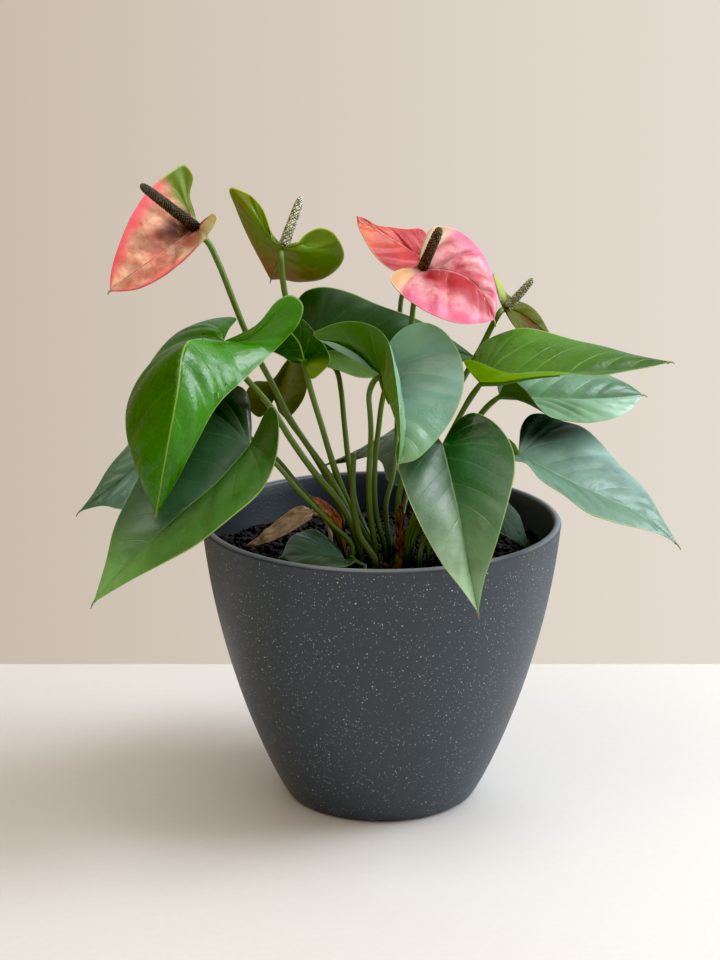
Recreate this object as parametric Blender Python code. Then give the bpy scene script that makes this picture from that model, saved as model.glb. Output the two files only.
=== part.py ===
"""A potted anthurium: a speckled grey planter, soil, fourteen heart-shaped leaves and five blooms."""
import math

import bmesh
import bpy
import numpy as np

MM = 0.001

# Driving dimensions, in millimetres
POT_RIM_DIAMETER = 190.0
POT_BASE_DIAMETER = 99.6
POT_HEIGHT = 153.0
POT_WALL = 4.2
POT_FLOOR = 5.0
POT_FOOT_BEND = 3.8          # how far the foot's curve swings out before it climbs
POT_BELLY = (88.4, 70.9)     # handle that gives the wall its full belly: radius, height
POT_SIDES = 48
SOIL_BELOW_RIM = 17.0
SOIL_TILT = 0.055            # the soil falls away towards the back
SOIL_FRONT = -30.0           # where it lies SOIL_BELOW_RIM down
SOIL_LUMP = 1.3
HOLE_DEPTH = 13.0
ROOT_BEND = 6.0              # a stalk runs straight down from this far over the soil
HOLE_ROOM = 0.75             # how much wider than its stalk a hole is, on the radius
GAP = 0.3                    # clear space between pieces that touch
BLADE = 0.8                  # thickness of a leaf
SPATHE = 0.9
STALK_SIDES = 6
LEAF_STALK = 3.6
THIN_STALK = 2.6
BLOOM_STALK = 3.8
STUB_WIDTH = 4.6
BEND = 15.0                  # spacing of the rings along a stalk
SPADIX_RINGS = 13
SPADIX_SIDES = 10
FLORET = 0.22                # how far the florets stand out of a spadix, and lie in between

# The pot's outside and inside are drawn through these heights, the lip between them.
OUTSIDE_HEIGHTS = (1.6, 6.0, 14.0, 26.0, 42.0, 62.0, 86.0, 112.0, 136.0)
INSIDE_HEIGHTS = (14.0, 26.0, 42.0, 62.0, 86.0, 112.0)
LIP_ROUND = (0.9, 1.2)       # the lip's corners, across and down
FOOT_ROUND = 2.0
CORNER = 4.0                 # how far the pot's floor stays away from its wall
SOIL_RINGS = (0.985, 0.86, 0.72, 0.58, 0.44, 0.3, 0.16)

# How a blade is laid out
FAN = 0.4                    # share of the margin whose veins all start at the stalk
VEIN_SLANT = 1.15
RIB_SHARE = 0.5              # share of the midrib that stands out under the blade
RIB_WIDTH = 0.75             # of its stalk
RIB_TIP = 0.4
STEM_SEAT = 0.6              # how far a flower stem's middle lies under its spathe, in stem radii
SPADIX_SEAT = 0.3            # how far in from the notch a spadix stands, in first steps of the midrib
SPADIX_LIFT = 1.7            # how far its foot starts over the middle of the spathe's thickness
CURVE_STEPS = 12
MIDRIB_POINTS = 200

# The plant is traced over the picture: a point is (across, down, depth), across and down in the
# 720 x 960 frame and depth in millimetres behind the middle of the pot. VIEW is where they were seen from.
FRAME_CENTRE = (360.0, 480.0)
VIEW_LENS = 2172.0
VIEW_PITCH = math.radians(15.2)
VIEW_FROM = np.array((-11.3, -1104.5, POT_HEIGHT + 320.0))


def seen(point):
    """The place in millimetres of a point traced over the picture."""
    across, down, depth = point
    forward = np.array((0.0, math.cos(VIEW_PITCH), -math.sin(VIEW_PITCH)))
    upward = np.array((0.0, math.sin(VIEW_PITCH), math.cos(VIEW_PITCH)))
    ray = forward + upward * (FRAME_CENTRE[1] - down) / VIEW_LENS
    ray[0] += (across - FRAME_CENTRE[0]) / VIEW_LENS
    return VIEW_FROM + ray * (depth - VIEW_FROM[1]) / ray[1]


def trace(points):
    return np.array([seen(p) for p in points])


# Each leaf: its midrib from stalk to tip, the two margins from the notch round the lobe to the tip,
# which way its upper face looks, how far each half bulges, and its stalk down to a root spot in the soil.
LEAVES = {
    "leaf_front_left": dict(
        midrib=((223, 342, -45), (200, 339, -60), (185, 346, -74), (177, 395, -92), (166, 455, -98),
                (156, 514, -96)),
        left=((225, 332, -38), (236, 318, -22), (212, 319, -18), (180, 332, -26), (150, 362, -42),
              (129, 400, -60), (128, 440, -74), (140, 480, -88)),
        right=((250, 335, -50), (262, 320, -52), (278, 300, -54), (292, 295, -54), (303, 305, -52),
               (299, 323, -54), (278, 347, -60), (249, 375, -66), (219, 404, -74), (193, 448, -84),
               (174, 485, -92)),
        face=(0, -1, 1), bulge=(3, 3), root=(-11, -39),
        stalk=((232, 360, -42), (244, 376, -40), (270, 406, -37), (290, 438, -35), (311, 468, -34),
               (346, 513, -36))),
    "leaf_low_left": dict(
        midrib=((250, 446, -58), (218, 482, -72), (183, 512, -84), (139, 553, -94), (94, 602, -98)),
        left=((249, 432, -50), (250, 407, -38), (243, 388, -30), (225, 385, -28), (195, 400, -34),
              (160, 436, -50), (137, 478, -64), (115, 527, -82), (106, 562, -90)),
        right=((258, 438, -60), (264, 420, -62), (272, 408, -62), (278, 420, -66), (278, 440, -76),
               (275, 462, -88), (260, 491, -102), (234, 516, -110), (200, 543, -113), (165, 562, -111),
               (128, 582, -106)),
        face=(0, -1, 1), bulge=(2, 3), root=(-15, -46),
        stalk=((262, 453, -52), (275, 463, -46), (300, 492, -44), (330, 523, -43), (352, 545, -44))),
    "leaf_far_left": dict(
        midrib=((212, 402, -6), (170, 440, -14), (125, 478, -24), (80, 511, -30)),
        left=((214, 388, 5), (208, 374, 14), (190, 374, 17), (160, 400, 8), (130, 441, -8),
              (109, 468, -18), (93, 494, -27)),
        right=((222, 412, -10), (226, 430, -14), (212, 447, -22), (190, 465, -27), (150, 492, -32),
               (124, 509, -34), (103, 506, -33)),
        face=(0, -1, 1), bulge=(2, 2), root=(-20, -37),
        stalk=((240, 430, -20), (275, 457, -30), (302, 490, -34), (325, 517, -36), (337, 536, -37))),
    "leaf_centre_left": dict(
        midrib=((304, 361, -24), (298, 342, -22), (286, 330, -22), (272, 330, -26), (256, 346, -34)),
        left=((298, 363, -26), (289, 361, -30), (279, 354, -29), (270, 352, -28), (262, 353, -31)),
        right=((307, 370, -26), (312, 379, -30), (322, 372, -30), (330, 362, -27), (327, 350, -21),
               (318, 338, -14), (304, 320, -11), (286, 314, -14), (268, 326, -24)),
        face=(0.3, -0.6, 1), bulge=(1, 2), root=(-5, -26),
        stalk=((307, 375, -23), (311, 391, -22), (322, 427, -24), (335, 468, -26), (351, 509, -26))),
    "leaf_young_bronze": dict(
        midrib=((275, 396, 34), (281, 380, 28), (288, 365, 20), (295, 350, 12)),
        left=((269, 408, 34), (260, 417, 32), (249, 409, 28), (245, 395, 26), (254, 382, 26),
              (270, 381, 26), (284, 364, 18)),
        right=((279, 412, 32), (286, 418, 28), (298, 408, 22), (306, 392, 16), (308, 376, 12),
               (303, 360, 10)),
        face=(0, 1, 0.3), bulge=(-2, -4), root=(-20, -20),
        stalk=((281, 408, 28), (291, 424, 20), (305, 443, 10), (324, 474, 0), (341, 512, -12))),
    "leaf_back_dark": dict(
        midrib=((312, 352, 12), (345, 351, 16), (388, 346, 22), (435, 348, 26), (476, 358, 26)),
        left=((306, 337, 14), (298, 318, 18), (297, 302, 24), (306, 291, 28), (324, 287, 30),
              (350, 293, 32), (373, 302, 33), (409, 316, 33), (440, 332, 32), (462, 347, 29)),
        right=((314, 360, 4), (324, 366, -6), (337, 370, -10), (361, 377, -8), (395, 375, 0),
               (430, 369, 10), (458, 363, 20)),
        face=(0, -0.6, 1), bulge=(2, 2), root=(-5, -13),
        stalk=((326, 361, 12), (336, 369, 10), (341, 390, 6), (344, 420, 0), (349, 465, -7),
               (357, 510, -12))),
    "leaf_centre_folded": dict(
        midrib=((381, 374, -34), (384, 388, -48), (391, 406, -62), (397, 425, -74), (400, 445, -83),
                (398, 464, -89)),
        left=((370, 366, -40), (355, 353, -44), (336, 343, -46), (318, 339, -48), (313, 334, -50),
              (325, 327, -52), (339, 322, -54), (352, 321, -58), (370, 326, -66), (385, 338, -76),
              (393, 358, -86), (397, 383, -92), (399, 413, -95), (400, 440, -93)),
        right=((384, 352, -36), (396, 334, -38), (412, 324, -40), (428, 323, -42), (445, 332, -46),
               (460, 355, -52), (464, 381, -59), (460, 402, -66), (449, 424, -74), (433, 444, -82),
               (415, 460, -88)),
        face=(0.5, -0.7, 0.4), bulge=(3, 2), root=(-3, -34),
        stalk=((374, 381, -30), (369, 395, -28), (370, 412, -28), (371, 434, -28), (369, 472, -30),
               (370, 513, -32))),
    "leaf_front_right": dict(
        midrib=((443, 446, -66), (452, 484, -82), (460, 519, -96), (468, 562, -107), (478, 613, -112)),
        left=((436, 436, -60), (424, 424, -54), (408, 426, -54), (398, 442, -62), (396, 460, -74),
              (403, 483, -90), (411, 505, -100), (421, 527, -105), (443, 565, -112), (463, 591, -114)),
        right=((448, 440, -62), (455, 424, -60), (471, 413, -60), (488, 418, -66), (502, 430, -74),
               (513, 450, -86), (515, 470, -96), (508, 501, -106), (497, 542, -113), (484, 581, -115)),
        face=(0, -1, 0.3), bulge=(2, 2), root=(8, -43),
        stalk=((440, 451, -56), (430, 475, -46), (414, 518, -40), (404, 545, -40))),
    "leaf_right_long": dict(
        midrib=((480, 382, -32), (500, 382, -36), (530, 377, -38), (570, 374, -40), (620, 371, -38),
                (670, 362, -34)),
        left=((474, 370, -20), (476, 354, -12), (484, 342, -8), (503, 333, -6), (522, 329, -6),
              (549, 332, -9), (586, 343, -16), (620, 351, -22), (650, 358, -29)),
        right=((472, 374, -38), (464, 361, -46), (475, 361, -52), (490, 367, -58), (511, 373, -62),
               (541, 373, -62), (567, 373, -60), (600, 375, -54), (640, 369, -44)),
        face=(0, -0.7, 1), bulge=(2, 1), root=(13, -34),
        stalk=((471, 397, -27), (460, 416, -24), (440, 455, -22), (422, 500, -25), (409, 540, -31))),
    "leaf_right_blue": dict(
        midrib=((499, 395, -14), (520, 397, -16), (560, 399, -18), (604, 399, -16), (643, 395, -10)),
        left=((497, 386, -6), (502, 374, 4), (517, 366, 10), (545, 362, 12), (580, 366, 8), (611, 376, 0),
              (628, 384, -6)),
        right=((503, 386, -20), (512, 381, -27), (526, 391, -35), (539, 407, -38), (551, 418, -37),
               (572, 422, -35), (600, 421, -30), (620, 416, -24), (634, 406, -16)),
        face=(0, -0.7, 1), bulge=(2, 2), root=(15, -20),
        stalk=((490, 404, -12), (481, 414, -12), (458, 448, -12), (432, 495, -14), (416, 535, -17))),
    "leaf_right_low": dict(
        midrib=((519, 455, -38), (549, 471, -46), (592, 492, -56), (635, 512, -62), (677, 544, -64)),
        left=((522, 443, -32), (521, 428, -24), (530, 415, -17), (545, 414, -14), (562, 421, -14),
              (582, 428, -17), (601, 443, -23), (622, 466, -32), (646, 492, -44), (665, 523, -56)),
        right=((514, 457, -46), (509, 460, -56), (515, 461, -64), (527, 464, -70), (540, 478, -75),
               (560, 492, -79), (586, 513, -83), (612, 521, -80), (645, 530, -73), (664, 536, -67)),
        face=(0, -0.8, 1), bulge=(2, 2), root=(19, -41),
        stalk=((511, 444, -33), (495, 438, -29), (470, 458, -28), (442, 503, -31), (424, 540, -35))),
    "leaf_inner_right": dict(
        midrib=((470, 492, -20), (490, 505, -26), (510, 525, -28), (526, 549, -26)),
        left=((473, 484, -12), (482, 482, -8), (496, 488, -6), (511, 505, -10), (521, 522, -14),
              (526, 536, -20)),
        right=((466, 498, -24), (468, 508, -30), (480, 519, -35), (497, 530, -37), (513, 540, -33)),
        face=(0, -1, 0.5), bulge=(1.5, 1.5), root=(24, -30),
        stalk=((455, 500, -20), (440, 518, -22), (430, 540, -26))),
    "leaf_inner_left": dict(
        midrib=((344, 560, -54), (325, 556, -60), (305, 556, -64), (282, 557, -64)),
        left=((340, 550, -48), (328, 538, -42), (312, 530, -40), (297, 533, -44), (287, 544, -52)),
        right=((350, 555, -60), (356, 560, -68), (346, 566, -76), (325, 568, -80), (300, 565, -76)),
        face=(0, -0.6, 1), bulge=(1.5, 1.5), root=(-9, -54),
        stalk=((354, 561, -52), (362, 565, -52))),
    "leaf_back_low": dict(
        midrib=((420, 440, 40), (400, 433, 46), (366, 449, 56), (325, 465, 64)),
        left=((419, 430, 46), (410, 424, 52), (396, 427, 57), (383, 437, 60), (362, 450, 62),
              (342, 459, 65)),
        right=((421, 455, 36), (415, 474, 34), (400, 486, 36), (387, 480, 38), (382, 463, 42),
               (370, 457, 50), (348, 462, 60)),
        face=(0, -1, 0.5), bulge=(1.5, 1.5), root=(7, -12),
        stalk=((417, 455, 28), (408, 490, 14), (399, 530, 0))),
}

# Each bloom: the spathe is drawn like a leaf; the spadix by its end and its two diameters.
BLOOMS = {
    "flower_1": dict(
        midrib=((197, 228, -22), (170, 248, -34), (140, 270, -44), (110, 291, -50)),
        left=((194, 212, -14), (190, 195, -8), (193, 176, -4), (184, 165, -4), (168, 174, -10),
              (150, 189, -18), (133, 213, -28), (120, 242, -38), (111, 272, -46)),
        right=((203, 222, -26), (212, 214, -32), (217, 219, -40), (207, 235, -47), (190, 254, -55),
               (165, 275, -60), (140, 288, -58), (123, 291, -54)),
        face=(-0.3, -1, 0.5), bulge=(2, -3), root=(-12, -29),
        spadix_end=(143, 187, -52), spadix_width=(5.8, 4.6),
        stalk=((206, 240, -19), (218, 262, -18), (233, 300, -17), (245, 330, -17), (261, 363, -18),
               (274, 387, -19), (288, 415, -20), (306, 443, -23), (329, 475, -27), (348, 512, -31))),
    "flower_2": dict(
        midrib=((283, 247, -4), (279, 262, 12), (271, 279, 28)),
        left=((272, 241, -4), (269, 226, -2), (262, 208, 2), (250, 195, 7), (230, 188, 12), (236, 208, 18),
              (248, 236, 24), (261, 261, 28), (267, 272, 29)),
        right=((290, 247, -4), (297, 244, -4), (305, 235, -2), (319, 228, 0), (331, 231, 3), (340, 242, 8),
               (344, 256, 14), (338, 268, 20), (322, 279, 26), (306, 281, 30), (287, 278, 31)),
        face=(0, 1, 0.5), bulge=(-3, -4), root=(-13, -17),
        spadix_end=(301, 197, 5), spadix_width=(5.6, 4.2),
        stalk=((281, 256, -7), (282, 272, -5), (285, 294, -4), (292, 320, -3), (299, 345, -2),
               (306, 371, -2), (311, 391, -3), (322, 427, -6), (334, 468, -12), (347, 509, -17))),
    "flower_3": dict(
        midrib=((426, 271, -30), (449, 271, -35), (469, 280, -39), (483, 296, -43), (494, 320, -48)),
        left=((425, 255, -22), (425, 238, -14), (434, 227, -8), (450, 228, -8), (466, 236, -12),
              (482, 253, -20), (492, 275, -30), (497, 297, -40), (496, 311, -46)),
        right=((415, 270, -32), (403, 269, -36), (392, 274, -42), (391, 281, -48), (400, 293, -54),
               (414, 304, -60), (431, 314, -64), (449, 321, -64), (466, 324, -61), (482, 323, -55)),
        face=(0.2, -1, 0.5), bulge=(2, 2), root=(2, -27),
        spadix_end=(440, 228, -44), spadix_width=(5.2, 4.8),
        stalk=((420, 280, -26), (414, 302, -22), (410, 330, -18), (400, 355, -16), (388, 380, -16),
               (382, 402, -16), (379, 425, -17), (375, 462, -20), (376, 513, -24))),
    "flower_4": dict(
        midrib=((503, 307, -2), (520, 314, 10), (536, 326, 20), (552, 341, 26)),
        left=((500, 300, -2), (496, 288, 2), (493, 274, 6), (499, 280, 10), (506, 293, 10), (516, 300, 12),
              (528, 305, 18), (539, 315, 25), (548, 331, 28)),
        right=((506, 311, -6), (509, 318, -8), (516, 328, -4), (526, 338, 6), (540, 345, 18)),
        face=(0.3, -0.3, 1), bulge=(2, 2), root=(10, -26),
        spadix_end=(533, 279, -9), spadix_width=(4.4, 3.6), spadix_seat=1.0,
        stalk=((500, 312, -6), (493, 324, -4), (483, 344, 0), (474, 360, 2), (466, 374, 3), (452, 398, 1),
               (432, 432, -6), (411, 465, -13), (400, 490, -18), (398, 520, -21))),
    "flower_5": dict(
        midrib=((418, 258, 14), (400, 246, 16), (385, 236, 12), (357, 216, 4)),
        left=((424, 248, 22), (427, 236, 26), (421, 229, 27), (406, 229, 22), (390, 227, 16),
              (376, 225, 10), (366, 219, 6)),
        right=((420, 268, 10), (412, 274, 6), (402, 271, 2), (392, 270, 0), (380, 261, -2), (371, 250, -2),
               (363, 236, 0), (358, 225, 2)),
        face=(0, 1, 0.3), bulge=(-2, -2), root=(4, -19),
        spadix_end=(414, 242, 46), spadix_width=(5.0, 4.2),
        stalk=((417, 266, 5), (412, 276, 4), (407, 286, 14), (402, 299, 28), (400, 311, 39),
               (398, 340, 40), (396, 380, 34), (397, 420, 20), (396, 452, 5), (392, 480, -4),
               (386, 505, -11))),
}

# Dried and cut pieces at the foot of the plant, drawn the same way
REMNANTS = {
    "dead_leaf": dict(
        midrib=((314, 513, -6), (296, 521, -6), (272, 535, -4), (247, 547, -2)),
        left=((309, 508, 2), (297, 507, 4), (283, 516, 4), (265, 531, 3)),
        right=((309, 520, -12), (300, 526, -14), (285, 535, -13), (266, 543, -9)),
        face=(0, -0.6, 1), bulge=(2, 1), root=(-27, -30),
        stalk=((322, 516, -12), (330, 530, -22))),
    "dry_sheath_1": dict(
        midrib=((341, 530, -30), (328, 512, -30), (317, 502, -28), (306, 496, -26)),
        left=((342, 519, -26), (330, 505, -24), (318, 498, -23)),
        right=((334, 530, -33), (322, 514, -33), (313, 503, -31)),
        face=(0, -0.6, 1), bulge=(1, 1), root=(-20, -28),
        stalk=((343, 540, -29), (344, 552, -29))),
    "dry_sheath_2": dict(
        midrib=((400, 558, -56), (400, 540, -55), (400, 520, -52), (401, 503, -48)),
        left=((405, 550, -55), (405, 532, -53), (404, 513, -49)),
        right=((396, 550, -56), (396, 532, -54), (397, 513, -50)),
        face=(0, -1, 0.3), bulge=(1, 1), root=(7, -56),
        stalk=((400, 565, -56),)),
}

STUB = dict(points=((354, 453, -38), (353, 480, -39), (354, 505, -40), (359, 535, -42)), root=(-4, -45))
STUB_TIP = 0.55              # its cut end, as a share of its width

STALK_WIDTHS = {
    "leaf_front_left": 4.2,
    "leaf_low_left": 3.2,
    "leaf_far_left": 3.0,
    "leaf_back_low": 3.0,
    "leaf_young_bronze": 2.8,
    "leaf_inner_right": 2.8,
    "leaf_inner_left": 2.8,
}

SPATHE_COLOURS = {
    "flower_1": "pink",
    "flower_2": "olive",
    "flower_3": "pink",
    "flower_4": "olive",
    "flower_5": "coral",
}

COLOURS = {
    "pot": ((0.055, 0.065, 0.073), 0.55),
    "soil": ((0.008, 0.007, 0.006), 0.95),
    "leaf": ((0.045, 0.16, 0.035), 0.35),
    "bronze": ((0.13, 0.13, 0.03), 0.4),
    "coral": ((0.75, 0.16, 0.15), 0.4),
    "pink": ((0.8, 0.27, 0.3), 0.4),
    "olive": ((0.16, 0.2, 0.03), 0.4),
    "spadix": ((0.09, 0.1, 0.05), 0.6),
    "stem": ((0.09, 0.16, 0.03), 0.45),
    "dry": ((0.35, 0.2, 0.1), 0.8),
}


def clear_scene():
    for item in list(bpy.data.objects):
        bpy.data.objects.remove(item, do_unlink=True)


def finish_material(name):
    colour, roughness = COLOURS[name]
    material = bpy.data.materials.get(name) or bpy.data.materials.new(name)
    material.use_nodes = True
    shader = material.node_tree.nodes["Principled BSDF"]
    shader.inputs["Base Color"].default_value = (*colour, 1.0)
    shader.inputs["Roughness"].default_value = roughness
    return material


def add_object(name, points, faces, material):
    """A named object from points in millimetres."""
    mesh = bpy.data.meshes.new(name)
    mesh.from_pydata((np.asarray(points) * MM).tolist(), [], [tuple(f) for f in faces])
    mesh.shade_smooth()
    item = bpy.data.objects.new(name, mesh)
    item.data.materials.append(finish_material(material))
    bpy.context.scene.collection.objects.link(item)
    return item


def apply_boolean(item, others, operation, solver):
    """Join or cut item with a collection of others, apply it, and remove them."""
    group = bpy.data.collections.new(item.name + "_tools")
    for other in others:
        group.objects.link(other)
    modifier = item.modifiers.new("tools", "BOOLEAN")
    modifier.operation = operation
    modifier.solver = solver
    modifier.operand_type = "COLLECTION"
    modifier.collection = group
    shape = bpy.data.meshes.new_from_object(item.evaluated_get(bpy.context.evaluated_depsgraph_get()))
    item.modifiers.remove(modifier)
    drop_scraps(shape)
    item.data = shape
    for other in others:
        bpy.data.objects.remove(other, do_unlink=True)
    bpy.data.collections.remove(group)


def drop_scraps(shape):
    """Keep only the largest connected body of a mesh."""
    body = bmesh.new()
    body.from_mesh(shape)
    left = set(body.verts)
    groups = []
    while left:
        group = {left.pop()}
        edge = list(group)
        while edge:
            vert = edge.pop()
            near = {e.other_vert(vert) for e in vert.link_edges} & left
            left -= near
            group |= near
            edge += near
        groups.append(group)
    groups.sort(key=len)
    bmesh.ops.delete(body, geom=[v for group in groups[:-1] for v in group], context="VERTS")
    body.to_mesh(shape)
    body.free()


def smooth_curve(points, count):
    """count points spaced evenly along a smooth curve through the given ones."""
    points = np.asarray(points, float)
    ends = np.vstack((2 * points[0] - points[1], points, 2 * points[-1] - points[-2]))
    fine = []
    for a, b, c, d in zip(ends, ends[1:], ends[2:], ends[3:]):
        steps = [math.sqrt(np.linalg.norm(q - p)) + 1e-6 for p, q in ((a, b), (b, c), (c, d))]
        knots = np.cumsum([0.0] + steps)
        for t in np.linspace(knots[1], knots[2], CURVE_STEPS, endpoint=False):
            ab = a + (b - a) * (t - knots[0]) / (knots[1] - knots[0])
            bc = b + (c - b) * (t - knots[1]) / (knots[2] - knots[1])
            cd = c + (d - c) * (t - knots[2]) / (knots[3] - knots[2])
            abc = ab + (bc - ab) * (t - knots[0]) / (knots[2] - knots[0])
            bcd = bc + (cd - bc) * (t - knots[1]) / (knots[3] - knots[1])
            fine.append(abc + (bcd - abc) * (t - knots[1]) / (knots[2] - knots[1]))
    fine = np.array(fine + [points[-1]])
    run = np.concatenate(([0.0], np.cumsum(np.linalg.norm(np.diff(fine, axis=0), axis=1))))
    wanted = np.linspace(0.0, run[-1], count)
    return np.column_stack([np.interp(wanted, run, fine[:, k]) for k in range(3)])


def point_normals(points, faces):
    normals = np.zeros_like(points)
    for a, b, c in faces:
        across = np.cross(points[b] - points[a], points[c] - points[a])
        for k in (a, b, c):
            normals[k] += across
    return normals / np.maximum(np.linalg.norm(normals, axis=1, keepdims=True), 1e-9)


def blade_sheet(spec, rows, columns):
    """The upper face of a leaf: veins run from the midrib out to the margin on both sides."""
    midrib = smooth_curve(trace(spec["midrib"]), MIDRIB_POINTS)
    margin_share = np.linspace(0.0, 1.0, rows)
    starts = np.clip((margin_share - FAN) / (1 - FAN), 0.0, 1.0) ** VEIN_SLANT
    spine = [midrib[0]]
    spine_of_row = []
    for start in starts:
        if start > 0:
            spine.append(midrib[int(round(start * (MIDRIB_POINTS - 1)))])
        spine_of_row.append(len(spine) - 1)
    points = list(spine)
    shares = [0.0] * len(spine)
    sides = [0] * len(spine)
    tip = len(spine) - 1
    faces = []
    margins = []
    for side, name in enumerate(("left", "right")):
        edge = smooth_curve(np.vstack((trace(spec[name]), midrib[-1])), rows)
        lines = []
        for row in range(rows - 1):
            line = [spine_of_row[row]]
            root = spine[spine_of_row[row]]
            for column in range(1, columns + 1):
                share = column / columns
                line.append(len(points))
                points.append(root + (edge[row] - root) * share)
                shares.append(share)
                sides.append(side)
            lines.append(line)
        lines.append([tip] * (columns + 1))
        for one, two in zip(lines, lines[1:]):
            for a, b, c, d in zip(one, one[1:], two[1:], two):
                for face in ((a, b, c), (a, c, d)):
                    if len(set(face)) == 3:
                        faces.append(face if side else face[::-1])
        margins.append(lines)
    points = np.array(points)
    normals = point_normals(points, faces)
    towards = np.asarray(spec["face"], float)
    if np.sum(normals @ towards) < 0:
        faces = [f[::-1] for f in faces]
        normals = -normals
    swell = np.array([4 * s * (1 - s) * spec["bulge"][k] for s, k in zip(shares, sides)])
    points = points + normals * swell[:, None]
    left, right = margins
    rim = left[0] + [line[-1] for line in left[1:]]
    rim += [line[-1] for line in right[-2::-1]] + right[0][-2:0:-1]
    return points, faces, rim


def thick_blade(points, faces, rim, thickness):
    """Give a sheet its thickness, with the same triangles on both faces."""
    normals = point_normals(points, faces)
    count = len(points)
    both = np.vstack((points + normals * thickness / 2, points - normals * thickness / 2))
    solid = list(faces) + [(c + count, b + count, a + count) for a, b, c in faces]
    directed = {(f[k], f[(k + 1) % 3]) for f in faces for k in range(3)}
    for a, b in zip(rim, rim[1:] + rim[:1]):
        if (a, b) not in directed:
            a, b = b, a
        solid += [(b, a, a + count), (b, a + count, b + count)]
    return both, solid


def tube(points, radii, sides):
    """A closed round tube along a run of points."""
    points = np.asarray(points, float)
    along = np.gradient(points, axis=0)
    along /= np.linalg.norm(along, axis=1, keepdims=True)
    across = np.cross(along[0], (0.31, 0.95, 0.05))
    verts = []
    for place, direction, radius in zip(points, along, radii):
        across = across - direction * (across @ direction)
        across /= np.linalg.norm(across)
        other = np.cross(direction, across)
        for k in range(sides):
            angle = 2 * math.pi * k / sides
            verts.append(place + radius * (math.cos(angle) * across + math.sin(angle) * other))
    faces = []
    for ring in range(len(points) - 1):
        for k in range(sides):
            a = ring * sides + k
            b = ring * sides + (k + 1) % sides
            faces.append((a, b, b + sides, a + sides))
    first = len(verts)
    verts += [points[0], points[-1]]
    last_ring = (len(points) - 1) * sides
    for k in range(sides):
        faces.append((first, (k + 1) % sides, k))
        faces.append((first + 1, last_ring + k, last_ring + (k + 1) % sides))
    return np.array(verts), faces


def soil_height(y):
    """The soil's height at a place; it falls away from SOIL_FRONT towards the back."""
    return POT_HEIGHT - SOIL_BELOW_RIM - SOIL_TILT * (y - SOIL_FRONT)


def root_run(root):
    """The straight end of a stalk, in its hole in the soil."""
    x, y = root
    top = soil_height(y)
    return [(x, y, top + above) for above in (ROOT_BEND, 1.0, 1.0 - ROOT_BEND, 1.0 - HOLE_DEPTH)]


def stalk_path(spec, top, step):
    route = np.vstack((top, trace(spec["stalk"]), root_run(spec["root"])))
    length = np.sum(np.linalg.norm(np.diff(route, axis=0), axis=1))
    return smooth_curve(route, max(4, int(length / step)))


def under_rib(points, normals, spine_count, radius):
    """The run of the stalk under the blade, where it becomes the midrib."""
    last = max(2, int(RIB_SHARE * spine_count))
    depth = radius * np.linspace(1.0, RIB_TIP + 0.15, last)
    return points[:last] - normals[:last] * depth[:, None]


def build_leaf(name, spec, material, width, rows=13, columns=3, thickness=BLADE):
    """A blade with its stalk and the rib under it, joined in one solid."""
    points, faces, rim = blade_sheet(spec, rows, columns)
    normals = point_normals(points, faces)
    body, solid = thick_blade(points, faces, rim, thickness)
    leaf = add_object(name, body, solid, material)
    radius = width / 2
    rib = under_rib(points, normals, spine_length(rows), radius * RIB_WIDTH)
    route = stalk_path(spec, rib[0], BEND)
    run = np.vstack((rib[:0:-1], route))
    thinner = np.linspace(RIB_TIP, RIB_WIDTH, len(rib) - 1)
    radii = np.concatenate((thinner, [0.8], np.linspace(0.9, 1.0, len(route) - 1)))
    stalk = add_object(name + "_stalk", *tube(run, radii * radius, STALK_SIDES), material)
    apply_boolean(leaf, [stalk], "UNION", "MANIFOLD")
    return leaf


def spine_length(rows):
    """How many points of a sheet lie on the midrib; they come first."""
    share = np.linspace(0.0, 1.0, rows)
    return 1 + int(np.sum(share > FAN))


def build_bloom(name, spec, spathe_material, width):
    points, faces, rim = blade_sheet(spec, 12, 3)
    normals = point_normals(points, faces)
    body, solid = thick_blade(points, faces, rim, SPATHE)
    add_object(name + "_spathe", body, solid, spathe_material)
    radius = width / 2
    seat = points[1] - normals[1] * (SPATHE / 2 + GAP + STEM_SEAT * radius)
    route = stalk_path(spec, seat, BEND)
    stem = add_object(name + "_stem", *tube(route, np.full(len(route), radius), STALK_SIDES), "stem")
    trim_to_spathe(stem, points, faces, rim)
    foot = points[0] + (points[1] - points[0]) * spec.get("spadix_seat", SPADIX_SEAT)
    foot += normals[0] * SPADIX_LIFT
    end = seen(spec["spadix_end"])
    spadix = add_object(name + "_spadix", *spadix_shape(foot, end, spec["spadix_width"]), "spadix")
    trim_to_spathe(spadix, points, faces, rim)


def spread_rim(points, faces, rim, reach):
    """Move the rim of a sheet outwards in its own surface."""
    edges = set(zip(rim, rim[1:] + rim[:1]))
    outward = np.zeros_like(points)
    for face in faces:
        for k in range(3):
            a, b, c = face[k], face[(k + 1) % 3], face[(k + 2) % 3]
            if (a, b) in edges or (b, a) in edges:
                along = (points[b] - points[a]) / np.linalg.norm(points[b] - points[a])
                inward = points[c] - points[a]
                inward = inward - along * (inward @ along)
                outward[a] -= inward / np.linalg.norm(inward)
                outward[b] -= inward / np.linalg.norm(inward)
    size = np.linalg.norm(outward, axis=1, keepdims=True)
    return points + outward / np.maximum(size, 1e-9) * reach * (size > 0)


def trim_to_spathe(item, points, faces, rim):
    """Cut away what would touch the spathe, leaving the gap between pieces: once wide of it, then close."""
    for reach, room in ((1.5 * GAP, 2 * GAP), (0.0, 2 * GAP)):
        wider = spread_rim(points, faces, rim, reach) if reach else points
        body, solid = thick_blade(wider, faces, rim, SPATHE + room)
        guard = add_object("guard", body, solid, "stem")
        apply_boolean(item, [guard], "DIFFERENCE", "MANIFOLD")


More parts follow.
